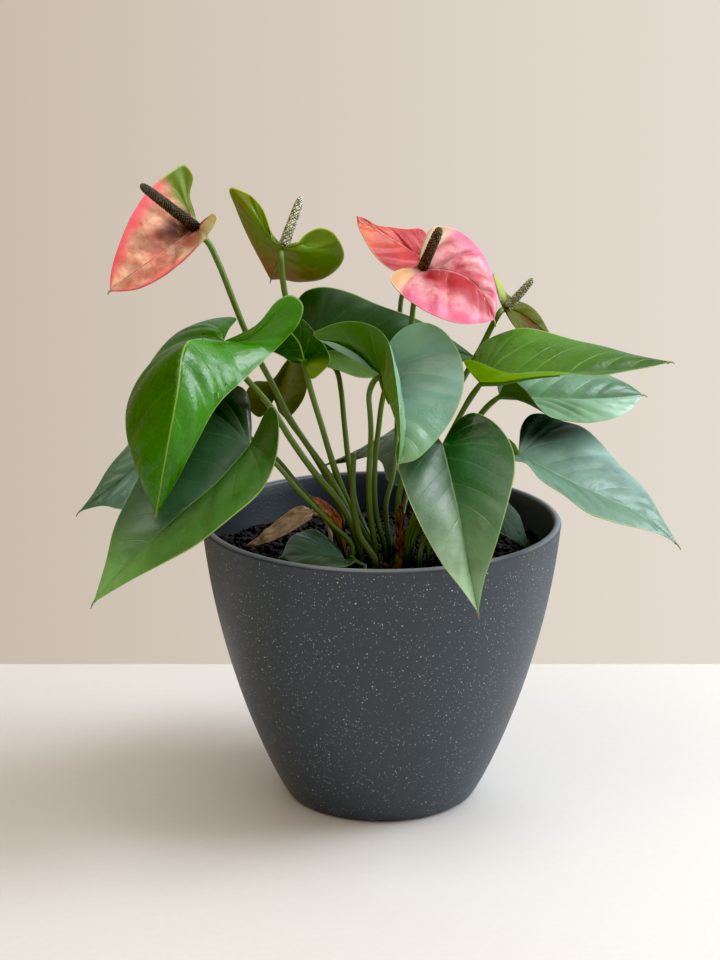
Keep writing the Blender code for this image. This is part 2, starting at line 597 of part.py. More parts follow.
def spadix_shape(foot, end, widths):
    """A tapering spike with its florets raised in a staggered pattern."""
    share = np.linspace(0.0, 1.0, SPADIX_RINGS)
    places = foot + (end - foot) * share[:, None]
    radii = (widths[0] + (widths[1] - widths[0]) * share) / 2
    radii[:2] *= (0.6, 0.9)
    radii[-2:] *= (0.85, 0.45)
    verts, faces = tube(places, radii, SPADIX_SIDES)
    for ring in range(1, SPADIX_RINGS - 1):
        for k in range(SPADIX_SIDES):
            index = ring * SPADIX_SIDES + k
            outward = verts[index] - places[ring]
            bump = FLORET if (ring + k) % 2 else -FLORET
            verts[index] += outward / np.linalg.norm(outward) * bump
    return verts, faces


def pot_radius(height):
    """Outer radius of the pot at a height: one Bezier from the foot to the rim."""
    return np.interp(height, POT_CURVE[:, 1], POT_CURVE[:, 0])


def make_pot_curve():
    base = POT_BASE_DIAMETER / 2
    rim = (POT_RIM_DIAMETER / 2, POT_HEIGHT)
    handles = np.array(((base, 0.0), (base + POT_FOOT_BEND, 1.0), POT_BELLY, rim))
    t = np.linspace(0, 1, 60)[:, None]
    weights = np.hstack(((1 - t) ** 3, 3 * t * (1 - t) ** 2, 3 * t * t * (1 - t), t ** 3))
    return weights @ handles


POT_CURVE = make_pot_curve()


def spin(profile, sides):
    """Turn a closed profile of (radius, height), from its first axis point round to its last, about Z."""
    verts = []
    rings = []
    for radius, height in profile:
        if radius == 0:
            rings.append([len(verts)])
            verts.append((0.0, 0.0, height))
            continue
        rings.append(list(range(len(verts), len(verts) + sides)))
        for k in range(sides):
            angle = 2 * math.pi * k / sides
            verts.append((radius * math.cos(angle), radius * math.sin(angle), height))
    faces = []
    for one, two in zip(rings, rings[1:]):
        for k in range(sides):
            n = (k + 1) % sides
            if len(one) == 1:
                faces.append((one[0], two[n], two[k]))
            elif len(two) == 1:
                faces.append((one[k], one[n], two[0]))
            else:
                faces.append((one[k], one[n], two[n], two[k]))
    return np.array(verts), faces


def build_pot():
    """A flat foot, a full belly and a soft rim; the inside follows the outside a wall's width in."""
    rim = POT_RIM_DIAMETER / 2
    across, down = LIP_ROUND
    outer = [(0.0, 0.0), (POT_BASE_DIAMETER / 2 - FOOT_ROUND, 0.0)]
    outer += [(pot_radius(z), z) for z in OUTSIDE_HEIGHTS + (POT_HEIGHT - down,)]
    lip = [(rim - across, POT_HEIGHT), (rim - POT_WALL + across, POT_HEIGHT)]
    lip.append((rim - POT_WALL, POT_HEIGHT - down))
    inner = [(pot_radius(z) - POT_WALL, z) for z in reversed(INSIDE_HEIGHTS + (OUTSIDE_HEIGHTS[-1],))]
    floor = [(pot_radius(POT_FLOOR) - POT_WALL - CORNER, POT_FLOOR), (0.0, POT_FLOOR)]
    points, faces = spin(outer + lip + inner + floor, POT_SIDES)
    return add_object("pot", points, faces, "pot")


def build_soil(roots):
    """Soil that fills the pot, lumpy on top, with a plain hole for each stalk."""
    wall = POT_WALL + GAP / math.cos(math.pi / POT_SIDES)
    edge = soil_height(0)
    bottom = POT_FLOOR + GAP
    profile = [(0.0, bottom), (pot_radius(POT_FLOOR) - wall - CORNER - FOOT_ROUND, bottom)]
    profile += [(pot_radius(z) - wall, z) for z in INSIDE_HEIGHTS + (edge - ROOT_BEND,)]
    reach = pot_radius(edge) - wall - 2 * GAP
    profile += [(reach * share, edge) for share in SOIL_RINGS] + [(0.0, edge)]
    points, faces = spin(profile, POT_SIDES)
    draw = np.random.default_rng(7)
    for point in points:
        if point[2] >= edge:
            point[2] = soil_height(point[1]) + draw.uniform(-SOIL_LUMP, SOIL_LUMP)
    soil = add_object("soil", points, faces, "soil")
    holes = []
    for (x, y), width in roots:
        top = soil_height(y)
        run = [(x, y, top - HOLE_DEPTH), (x, y, top - ROOT_BEND), (x, y, top + ROOT_BEND)]
        hole = add_object("hole", *tube(run, np.full(3, width / 2 + HOLE_ROOM), STALK_SIDES + 2), "soil")
        hole.hide_render = True
        hole.display_type = "WIRE"
        holes.append(hole)
    apply_boolean(soil, holes, "DIFFERENCE", "EXACT")
    return soil


def build_stub():
    """A petiole that was cut off short."""
    route = np.vstack((trace(STUB["points"]), root_run(STUB["root"])))
    run = smooth_curve(route, 9)
    radii = np.linspace(STUB_TIP, 1.0, len(run)) * STUB_WIDTH / 2
    return add_object("cut_stub", *tube(run, radii, STALK_SIDES), "stem")


def main():
    clear_scene()
    roots = [(STUB["root"], STUB_WIDTH)]
    for name, spec in LEAVES.items():
        width = STALK_WIDTHS.get(name, LEAF_STALK)
        build_leaf(name, spec, "bronze" if name == "leaf_young_bronze" else "leaf", width)
        roots.append((spec["root"], width))
    for name, spec in REMNANTS.items():
        build_leaf(name, spec, "dry", THIN_STALK, rows=7, columns=2)
        roots.append((spec["root"], THIN_STALK))
    for name, spec in BLOOMS.items():
        build_bloom(name, spec, SPATHE_COLOURS[name], BLOOM_STALK)
        roots.append((spec["root"], BLOOM_STALK))
    build_pot()
    build_soil(roots)
    build_stub()


main()
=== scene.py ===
"""The looks of a potted anthurium: a speckled slate planter, dark soil, fourteen leaves and five blooms."""
import math

import bpy
import numpy as np
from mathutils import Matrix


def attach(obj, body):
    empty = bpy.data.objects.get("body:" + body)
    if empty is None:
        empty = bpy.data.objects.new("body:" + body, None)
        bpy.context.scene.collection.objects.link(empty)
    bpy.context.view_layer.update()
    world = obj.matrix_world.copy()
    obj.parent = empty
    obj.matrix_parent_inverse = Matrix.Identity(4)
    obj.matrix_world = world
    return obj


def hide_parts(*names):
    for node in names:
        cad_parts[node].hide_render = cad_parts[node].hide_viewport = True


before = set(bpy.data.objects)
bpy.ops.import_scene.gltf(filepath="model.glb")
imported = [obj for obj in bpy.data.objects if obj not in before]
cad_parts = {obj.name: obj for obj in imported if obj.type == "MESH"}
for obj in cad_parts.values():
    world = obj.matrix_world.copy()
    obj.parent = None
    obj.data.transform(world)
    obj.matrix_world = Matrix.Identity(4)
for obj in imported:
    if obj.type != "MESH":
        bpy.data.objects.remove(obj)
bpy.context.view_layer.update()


# The studio. A cream table top ends a little way behind the plant, and beyond it is only a warm
# beige room. One wide soft light stands high on the right, with weaker ones over and before it.
MM = 0.001
TABLE_EDGE = 192 * MM
TABLE_REACH = 2.6
TABLE_THICKNESS = 32 * MM


def paint(red, green, blue):
    """A colour as a paint chip gives it, 0 to 255, in the linear numbers that shaders read."""
    shares = [channel / 255 for channel in (red, green, blue)]
    return tuple(s / 12.92 if s < 0.04045 else ((s + 0.055) / 1.055) ** 2.4 for s in shares)


class Value:
    """A value that nodes work out. Sums and products of values add their Math nodes."""

    def __init__(self, nodes, socket):
        self.nodes = nodes
        self.socket = socket

    def __add__(self, other):
        return self.nodes.maths("ADD", self, other)

    def __sub__(self, other):
        return self.nodes.maths("SUBTRACT", self, other)

    def __rsub__(self, other):
        return self.nodes.maths("SUBTRACT", other, self)

    def __mul__(self, other):
        return self.nodes.maths("MULTIPLY", self, other)

    def __truediv__(self, other):
        return self.nodes.maths("DIVIDE", self, other)

    __radd__ = __add__
    __rmul__ = __mul__


class Nodes:
    """A node tree under construction."""

    def __init__(self, tree):
        self.tree = tree

    def node(self, kind, settings=None, sockets=None, output=0):
        """Add a node, set its settings, then fill its sockets with values or links."""
        node = self.tree.nodes.new(kind)
        for key, value in (settings or {}).items():
            setattr(node, key, value)
        for key, value in (sockets or {}).items():
            self.fill(node.inputs[key], value)
        return Value(self, node.outputs[output])

    def fill(self, socket, value):
        if isinstance(value, Value):
            self.tree.links.new(value.socket, socket)
        elif socket.type == "RGBA" and len(value) == 3:
            socket.default_value = (*value, 1.0)
        else:
            socket.default_value = value

    def maths(self, operation, *terms):
        return self.node("ShaderNodeMath", {"operation": operation}, dict(enumerate(terms)))

    def part(self, vector, axis):
        """One of the three numbers of a vector or a colour."""
        return self.node("ShaderNodeSeparateXYZ", None, {0: vector}, axis)

    def vector(self, *parts):
        return self.node("ShaderNodeCombineXYZ", None, dict(enumerate(parts)))

    def ease(self, value, low, high, bottom=0.0, top=1.0):
        """From bottom to top as value goes from low to high, softly."""
        settings = {"interpolation_type": "SMOOTHSTEP"}
        sockets = {"Value": value, "From Min": low, "From Max": high, "To Min": bottom, "To Max": top}
        return self.node("ShaderNodeMapRange", settings, sockets)

    def mix(self, share, one, two):
        """A colour between two colours."""
        return self.node("ShaderNodeMix", {"data_type": "RGBA"}, {0: share, 6: one, 7: two}, 2)

    def blend(self, share, one, two):
        """A number between two numbers."""
        return self.node("ShaderNodeMix", {"data_type": "FLOAT"}, {0: share, 2: one, 3: two})


class Finish(Nodes):
    """A procedural material. What stays the same all over is set on the shader itself."""

    def __init__(self, name, constants):
        self.material = bpy.data.materials.new(name)
        self.material.use_nodes = True
        super().__init__(self.material.node_tree)
        self.shader = self.tree.nodes["Principled BSDF"]
        self.place = self.node("ShaderNodeTexCoord", output="Object")
        for socket, value in constants.items():
            self.feed(socket, value)

    def attribute(self, name):
        return self.node("ShaderNodeAttribute", {"attribute_name": name}, output="Fac")

    def noise(self, scale, detail=3.0, roughness=0.5, where=None):
        sockets = {"Vector": where or self.place, "Scale": scale, "Detail": detail, "Roughness": roughness}
        return self.node("ShaderNodeTexNoise", None, sockets)

    def cells(self, scale, feature="F1", output="Distance"):
        sockets = {"Vector": self.place, "Scale": scale}
        return self.node("ShaderNodeTexVoronoi", {"feature": feature}, sockets, output)

    def feed(self, socket, value):
        self.fill(self.shader.inputs[socket], value)

    def relief(self, height, distance):
        bump = self.node("ShaderNodeBump", None, {"Height": height, "Distance": distance, "Strength": 1.0})
        self.feed("Normal", bump)


def new_object(name, mesh):
    item = bpy.data.objects.new(name, mesh)
    bpy.context.scene.collection.objects.link(item)
    return item


def mesh_of(name, points, faces):
    mesh = bpy.data.meshes.new(name)
    mesh.from_pydata(np.asarray(points, float).tolist(), [], [tuple(int(k) for k in face) for face in faces])
    mesh.shade_smooth()
    return mesh


def build_table():
    corners = [(x, y, z) for z in (0.0, -TABLE_THICKNESS) for y in (-TABLE_REACH, TABLE_EDGE)
               for x in (-TABLE_REACH, TABLE_REACH)]
    faces = [(0, 1, 3, 2), (4, 6, 7, 5), (0, 4, 5, 1), (2, 3, 7, 6), (0, 2, 6, 4), (1, 5, 7, 3)]
    mesh = mesh_of("table", corners, faces)
    mesh.shade_flat()
    top = Finish("cream_table", {"Roughness": 0.62})
    grain = top.noise(260.0, detail=4.0)
    top.feed("Base Color", top.mix(grain, paint(231, 226, 220), paint(226, 220, 213)))
    mesh.materials.append(top.material)
    new_object("table", mesh)


def build_room():
    """A beige wall behind, paler to the right. The light of the room is daylight from the right."""
    world = bpy.data.worlds.new("room")
    world.use_nodes = True
    bpy.context.scene.world = world
    room = Nodes(world.node_tree)
    direction = room.node("ShaderNodeTexCoord", output="Generated")
    rightness = room.node("ShaderNodeMapRange", None, {
        "Value": room.part(direction, 0), "From Min": -WALL_TURNS, "From Max": WALL_TURNS})
    daylight = room.node("ShaderNodeVectorMath", {"operation": "DOT_PRODUCT"},
                         {0: direction, 1: DAYLIGHT_SIDE}, "Value")
    wall = room.mix(rightness, WALL_LEFT, WALL_RIGHT)
    light = room.mix(room.ease(daylight, -0.45, 0.85), ROOM_DIM, ROOM_BRIGHT)
    light = room.mix(room.ease(room.part(direction, 2), 0.6, 0.9), light, CEILING)
    seen_directly = room.node("ShaderNodeLightPath", output="Is Camera Ray")
    shader = world.node_tree.nodes["Background"]
    room.fill(shader.inputs["Color"], room.mix(seen_directly, light, wall))
    room.fill(shader.inputs["Strength"], 1.0)


def add_light(name, place, size, watts, colour):
    """A rectangular light, turned towards the plant."""
    data = bpy.data.lights.new(name, "AREA")
    data.shape = "RECTANGLE"
    data.size, data.size_y = size
    data.energy = watts
    data.color = colour
    lamp = bpy.data.objects.new(name, data)
    lamp.location = place
    away = np.array(place) - np.array(PLANT_MIDDLE)
    flat = math.hypot(away[0], away[1])
    lamp.rotation_euler = (math.atan2(flat, away[2]), 0.0, math.atan2(away[0], -away[1]))
    bpy.context.scene.collection.objects.link(lamp)


def add_camera():
    """Where the plant was seen from: above its top, looking 15 degrees down."""
    data = bpy.data.cameras.new("camera")
    data.sensor_width = SENSOR
    data.lens = SENSOR * VIEW_LENS / VIEW_HEIGHT
    camera = bpy.data.objects.new("camera", data)
    camera.location = VIEW_FROM * MM
    camera.rotation_euler = (math.pi / 2 - VIEW_PITCH, 0.0, 0.0)
    bpy.context.scene.collection.objects.link(camera)
    bpy.context.scene.camera = camera


SENSOR = 36.0
VIEW_WIDTH = 720.0      # the view in pixels
VIEW_HEIGHT = 960.0
VIEW_LENS = 2172.0      # the focal length in the same pixels
VIEW_PITCH = math.radians(15.2)
VIEW_FROM = np.array((-11.3, -1104.5, 473.0))
VIEW_FORWARD = np.array((0.0, math.cos(VIEW_PITCH), -math.sin(VIEW_PITCH)))
VIEW_UPWARD = np.array((0.0, math.sin(VIEW_PITCH), math.cos(VIEW_PITCH)))
PLANT_MIDDLE = (0.0, 0.0, 0.2)
WALL_LEFT = paint(202, 189, 173)
WALL_RIGHT = paint(230, 221, 210)
WALL_TURNS = 0.17       # how far to each side the wall goes on getting darker or paler
DAYLIGHT_SIDE = (0.88, 0.28, 0.38)
ROOM_DIM = (0.29, 0.20, 0.105)
ROOM_BRIGHT = (0.72, 0.80, 0.85)
CEILING = (0.58, 0.50, 0.41)
BLACK_LEVEL = 0.0075

build_table()
build_room()
add_camera()
# each light's place, its width and height, watts and colour
add_light("window", (1.2, 0.08, 0.72), (0.85, 0.75), 13.8, (0.90, 0.97, 1.06))
add_light("overhead", (0.62, -0.05, 1.25), (0.5, 0.5), 6.8, (0.88, 0.96, 1.08))
add_light("front", (-0.5, -0.6, 1.3), (0.9, 0.7), 4.1, (1.0, 0.94, 0.86))
add_light("low front", (0.1, -1.6, 0.5), (1.2, 0.6), 2.0, (1.0, 0.95, 0.9))
view = bpy.context.scene.view_settings
view.view_transform = "Standard"
view.use_curve_mapping = True
view.curve_mapping.black_level = (BLACK_LEVEL, BLACK_LEVEL, BLACK_LEVEL)
view.curve_mapping.update()


# The planter. One moulded piece of slate grey composite with pale flecks through it: a flat foot, a
# wall that swells to the rim, and a soft rolled lip. Its inside is plain, with painted shade on its left side
# and painted light on its right.
POT_RIM = 95.0          # mm, and so are the others; the rim and the base are radii
POT_BASE = 49.8
POT_HEIGHT = 153.0
POT_WALL = 4.2
POT_FLOOR = 5.0
POT_FOOT_BEND = 3.8
POT_BELLY = (88.4, 70.9)
POT_SIDES = 192
RIM_HIGHLIGHT = (151.4 * MM, 152.8 * MM)     # heights between which the painted highlight along the rim comes in
FLECKS_END = (151.0 * MM, 150.0 * MM)   # and between which the flecks go out below it
# cells per metre, radius of a fleck as a share of its cell, and the share of cells without one
FLECKS = ((230.0, 0.075, 0.78), (420.0, 0.1, 0.68), (700.0, 0.125, 0.6), (1050.0, 0.16, 0.6))


def pot_curve(count):
    """The outside of the planter from its foot to its rim, as radius and height."""
    handles = np.array(((POT_BASE, 0.0), (POT_BASE + POT_FOOT_BEND, 1.0), POT_BELLY, (POT_RIM, POT_HEIGHT)))
    t = np.linspace(0.0, 1.0, count)[:, None]
    weights = np.hstack(((1 - t) ** 3, 3 * t * (1 - t) ** 2, 3 * t * t * (1 - t), t ** 3))
    return weights @ handles


POT_CURVE = pot_curve(200)


def pot_radius(height):
    return np.interp(height, POT_CURVE[:, 1], POT_CURVE[:, 0])


def spin(profile, sides):
    """Points and faces of a profile of radius and height, turned about the upright axis."""
    turn = 2 * math.pi * np.arange(sides) / sides
    points = []
    rings = []
    for radius, height in profile:
        ring = np.arange(len(points), len(points) + (sides if radius > 0 else 1))
        rings.append(ring)
        for angle in turn[:len(ring)]:
            points.append((radius * math.cos(angle), radius * math.sin(angle), height))
    faces = []
    for low, high in zip(rings, rings[1:]):
        for k in range(sides):
            n = (k + 1) % sides
            corners = (low[k % len(low)], low[n % len(low)], high[n % len(high)], high[k % len(high)])
            faces.append(tuple(dict.fromkeys(corners)))
    return np.array(points), faces


def store(mesh, label, values):
    """Keep one number for each point of a mesh, for its finish to read."""
    mesh.attributes.new(label, "FLOAT", "POINT").data.foreach_set("value", np.asarray(values, np.float32))


def slate_finish():
    slate = Finish("slate_composite", {"Specular IOR Level": 0.6})
    cloud = slate.noise(18.0, detail=5.0)
    grain = slate.noise(900.0, detail=2.0)
    height = slate.part(slate.place, 2)
    body = slate.mix(cloud, paint(34, 46, 56), paint(43, 56, 67))
    body = slate.mix(slate.ease(grain, 0.3, 0.7, 0.0, 0.35), body, paint(34, 46, 55))
    # a pale grey painted highlight along the rolled lip
    body = slate.mix(slate.ease(height, *RIM_HIGHLIGHT, 0.0, 0.8), body, paint(140, 145, 150))
    below_rim = slate.ease(height, *FLECKS_END)
    flecks = 0.0
    for scale, size, share in FLECKS:
        distance = slate.cells(scale)
        draw = slate.cells(scale, output="Color")
        big = slate.part(draw, 1)
        dot = slate.ease(distance / (size * (0.5 + big)), 1.0, 0.6)
        dot = dot * slate.maths("GREATER_THAN", slate.part(draw, 0), share)
        flecks = slate.maths("MAXIMUM", flecks, dot * (0.5 + big * 0.5) * below_rim)
    body = slate.mix(flecks, body, paint(240, 243, 240))
    # the inside wall is painted lighter to the right of the middle, a painted light, and darker to the left,
    # a painted shade
    painted_light_to_right = slate.ease(slate.part(slate.place, 0), -0.02, 0.08)
    lining_with_painted_light = slate.mix(painted_light_to_right, paint(30, 35, 40), paint(74, 84, 95))
    slate.feed("Base Color", slate.mix(slate.attribute("inside"), body, lining_with_painted_light))
    slate.feed("Roughness", slate.ease(cloud, 0.3, 0.7, 0.42, 0.5))
    slate.relief(slate.noise(700.0, detail=3.0) + cloud * 0.6, 0.00012)
    return slate.material


def build_planter():
    middle = POT_RIM - POT_WALL / 2
    crown = POT_HEIGHT - POT_WALL / 2
    foot = [(0.0, 0.0), (POT_BASE - 2.6, 0.0), (POT_BASE - 1.2, 0.25), (POT_BASE - 0.2, 0.9)]
    levels = np.concatenate((np.linspace(1.8, 12, 10), np.linspace(14, crown - 1, 50)))
    outer = [(pot_radius(z), z) for z in levels]
    lip = [(middle + POT_WALL / 2 * math.cos(a), crown + POT_WALL / 2 * math.sin(a))
           for a in np.linspace(0, math.pi, 13)]
    inner = [(pot_radius(z) - POT_WALL, z) for z in np.linspace(crown - 1, 9.0, 30)]
    floor = [(pot_radius(POT_FLOOR) - POT_WALL - 3.0, POT_FLOOR), (0.0, POT_FLOOR)]
    points, faces = spin(foot + outer + lip + inner + floor, POT_SIDES)
    mesh = mesh_of("planter", points * MM, faces)
    radius, height = np.hypot(points[:, 0], points[:, 1]), points[:, 2]
    store(mesh, "inside", (radius < pot_radius(height) - POT_WALL * 0.7) & (height > POT_FLOOR - 1))
    mesh.materials.append(slate_finish())
    planter = new_object("planter", mesh)
    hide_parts("pot")
    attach(planter, "root")


build_planter()


# The soil. Black, open potting compost: crumbs, small lumps and a few brown chips of bark, heaped
# unevenly on the bed that fills the planter to 17 mm under its rim and falls away to the back.
SOIL_BELOW_RIM = 17.0
SOIL_TILT = 0.055       # mm down for each mm to the back
SOIL_FRONT = -30.0
SOIL_SIDES = 96
SOIL_GAP = 0.3          # mm between the soil and the planter
# crumbs per square metre, the smallest and the largest in metres, flatness and seed
FINE_CRUMBS = (62000.0, 0.0009, 0.0022, 0.75, 2)
COARSE_CRUMBS = (14000.0, 0.0018, 0.0036, 0.6, 4)
BARK_CHIPS = (3800.0, 0.0016, 0.0042, 0.3, 9)


def soil_height(y):
    return POT_HEIGHT - SOIL_BELOW_RIM - SOIL_TILT * (y - SOIL_FRONT)


def compost_finish(name, dark, light, wet):
    compost = Finish(name, {"Specular IOR Level": 0.3})
    lumps = compost.noise(420.0, detail=5.0, roughness=0.7)
    compost.feed("Base Color", compost.mix(compost.ease(lumps, 0.35, 0.72), dark, light))
    compost.feed("Roughness", compost.ease(lumps, 0.35, 0.7, wet, 0.95))
    compost.relief(lumps, 0.0006)
    return compost.material


def new_tree(name, *inputs):
    """A new Geometry Nodes tree with these named inputs besides a mesh, and the values they give."""
    tree = bpy.data.node_groups.new(name, "GeometryNodeTree")
    for label, kind in (("Geometry", "Geometry"),) + inputs:
        tree.interface.new_socket(label, in_out="INPUT", socket_type="NodeSocket" + kind)
    tree.interface.new_socket("Geometry", in_out="OUTPUT", socket_type="NodeSocketGeometry")
    nodes = Nodes(tree)
    start = tree.nodes.new("NodeGroupInput")
    return nodes, {socket.name: Value(nodes, socket) for socket in start.outputs}


def closed_tree(nodes, made, finish):
    """End a tree: what it made, as plain geometry in one finish."""
    real = nodes.node("GeometryNodeRealizeInstances", None, {0: made})
    done = nodes.node("GeometryNodeSetMaterial", None, {"Geometry": real, "Material": finish})
    end = nodes.tree.nodes.new("NodeGroupOutput")
    nodes.fill(end.inputs[0], done)
    return nodes.tree


def crumb_tree():
    """Crumbs strewn over the bed, each its own size and turn."""
    nodes, given = new_tree("crumbs", ("Crumbs per square metre", "Float"), ("Smallest", "Float"),
                            ("Largest", "Float"), ("Flatness", "Float"), ("Seed", "Int"),
                            ("Crumb finish", "Material"))
    upward = nodes.part(nodes.node("GeometryNodeInputNormal"), 2)
    top = nodes.node("FunctionNodeCompare", {"operation": "GREATER_THAN"}, {0: upward, 1: 0.5})
    points = nodes.node("GeometryNodeDistributePointsOnFaces", None, {
        "Mesh": given["Geometry"], "Selection": top, "Density": given["Crumbs per square metre"],
        "Seed": given["Seed"]})
    ball = nodes.node("GeometryNodeMeshIcoSphere", None, {"Radius": 1.0, "Subdivisions": 2})
    place = nodes.node("GeometryNodeInputPosition")
    rough = nodes.node("ShaderNodeTexNoise", None, {"Vector": place, "Scale": 1.1, "Detail": 1.0}, 1)
    shift = nodes.node("ShaderNodeVectorMath", {"operation": "SUBTRACT"}, {0: rough, 1: (0.5, 0.5, 0.5)})
    shift = nodes.node("ShaderNodeVectorMath", {"operation": "MULTIPLY"}, {0: shift, 1: (2.2, 2.2, 2.2)})
    lump = nodes.node("GeometryNodeSetPosition", None, {"Geometry": ball, "Offset": shift})
    size = nodes.node("FunctionNodeRandomValue", {"data_type": "FLOAT"},
                      {2: given["Smallest"], 3: given["Largest"], "Seed": 3}, 1)
    turn = nodes.node("FunctionNodeRandomValue", {"data_type": "FLOAT_VECTOR"},
                      {0: (-0.7, -0.7, 0.0), 1: (0.7, 0.7, 6.28), "Seed": 5})
    strewn = nodes.node("GeometryNodeInstanceOnPoints", None, {
        "Points": points, "Instance": lump, "Rotation": turn,
        "Scale": nodes.vector(size, size * 0.8, size * given["Flatness"])})
    return closed_tree(nodes, strewn, given["Crumb finish"])


def grown(name, base, tree, settings):
    """What a tree makes of a mesh, as a plain mesh."""
    item = new_object(name, base)
    modifier = item.modifiers.new("grow", "NODES")
    modifier.node_group = tree
    for socket in tree.interface.items_tree:
        if socket.in_out == "INPUT" and socket.name in settings:
            modifier[socket.identifier] = settings[socket.name]
    mesh = bpy.data.meshes.new_from_object(item.evaluated_get(bpy.context.evaluated_depsgraph_get()))
    bpy.data.objects.remove(item, do_unlink=True)
    mesh.name = name
    return mesh


def joined(name, meshes):
    """Several meshes as one object, each with its own finishes and attributes."""
    items = [new_object(name, mesh) for mesh in meshes]
    with bpy.context.temp_override(active_object=items[0], object=items[0], selected_editable_objects=items,
                                   selected_objects=items):
        if len(items) > 1:
            bpy.ops.object.join()
    items[0].name = name
    return items[0]


def build_soil():
    draw = np.random.default_rng(11)
    edge = soil_height(0.0)
    reach = pot_radius(edge) - POT_WALL - 0.8
    side = [(pot_radius(z) - POT_WALL - SOIL_GAP, z) for z in np.linspace(9.0, edge - 4.0, 12)]
    top = [(reach * share, edge) for share in np.linspace(1.0, 0.04, 28)]
    points, faces = spin([(0.0, POT_FLOOR + SOIL_GAP)] + side + top + [(0.0, edge)], SOIL_SIDES)
    for point in points:
        if point[2] >= edge:
            x, y = point[:2]
            swell = 1.1 * math.sin(x / 9.0 + 1.0) * math.cos(y / 7.0) + 0.9 * math.sin(x / 4.1 - y / 5.3)
            point[2] = soil_height(y) + swell + draw.uniform(-0.7, 0.7)
    bed = mesh_of("bed", points * MM, faces)
    black = compost_finish("black_compost", paint(15, 15, 16), paint(44, 41, 39), 0.55)
    brown = compost_finish("bark_chips", paint(38, 27, 20), paint(92, 66, 46), 0.7)
    bed.materials.append(black)
    tree = crumb_tree()
    labels = ("Crumbs per square metre", "Smallest", "Largest", "Flatness", "Seed")
    parts = []
    for crumbs, finish in ((FINE_CRUMBS, black), (COARSE_CRUMBS, black), (BARK_CHIPS, brown)):
        settings = dict(zip(labels, crumbs), **{"Crumb finish": finish})
        parts.append(grown("crumbs", bed.copy(), tree, settings))
    compost = joined("compost", [bed] + parts)
    compost.data.shade_smooth()
    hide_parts("soil")
    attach(compost, "root")


build_soil()


# The leaves. Each is one heart-shaped leathery blade on its own petiole, all out of one clump: glossy
# green over a paler underside, with sunken main veins that puff the blade between them, a raised
# midrib and a thin pale margin.

# What a leaf has unless its own lines say otherwise. A pair is for its left and its right half.
LEAF_USUAL = dict(
    face=(0, -1, 1),            # the way its upper side looks
    bulge=(2, 2),               # mm that each half swells
    puffing=0.3,                # mm that it stands up between its veins
    stalk_width=3.6,            # mm
    shine=0.7,                  # how strongly its skin reflects
    coat=(0.0, 0.0),            # how waxy it is
    creasing=0.9,               # how deep its fine creases are
    veining=0.09,               # how pale its main veins are
    rib_from=0.4,               # where along the blade the pale midrib begins
    tip_from=0.62,              # where along the blade the tip's colour comes in, a painted sheen on some leaves and a painted shade on others
    tip_shares=(1.0, 1.0),
    lobe_reach=0.42,            # how far along the blade the lobes' colour goes, which on some leaves is painted sheen, painted shade or painted light shining through
    lobe_shares=(0.55, 0.55))
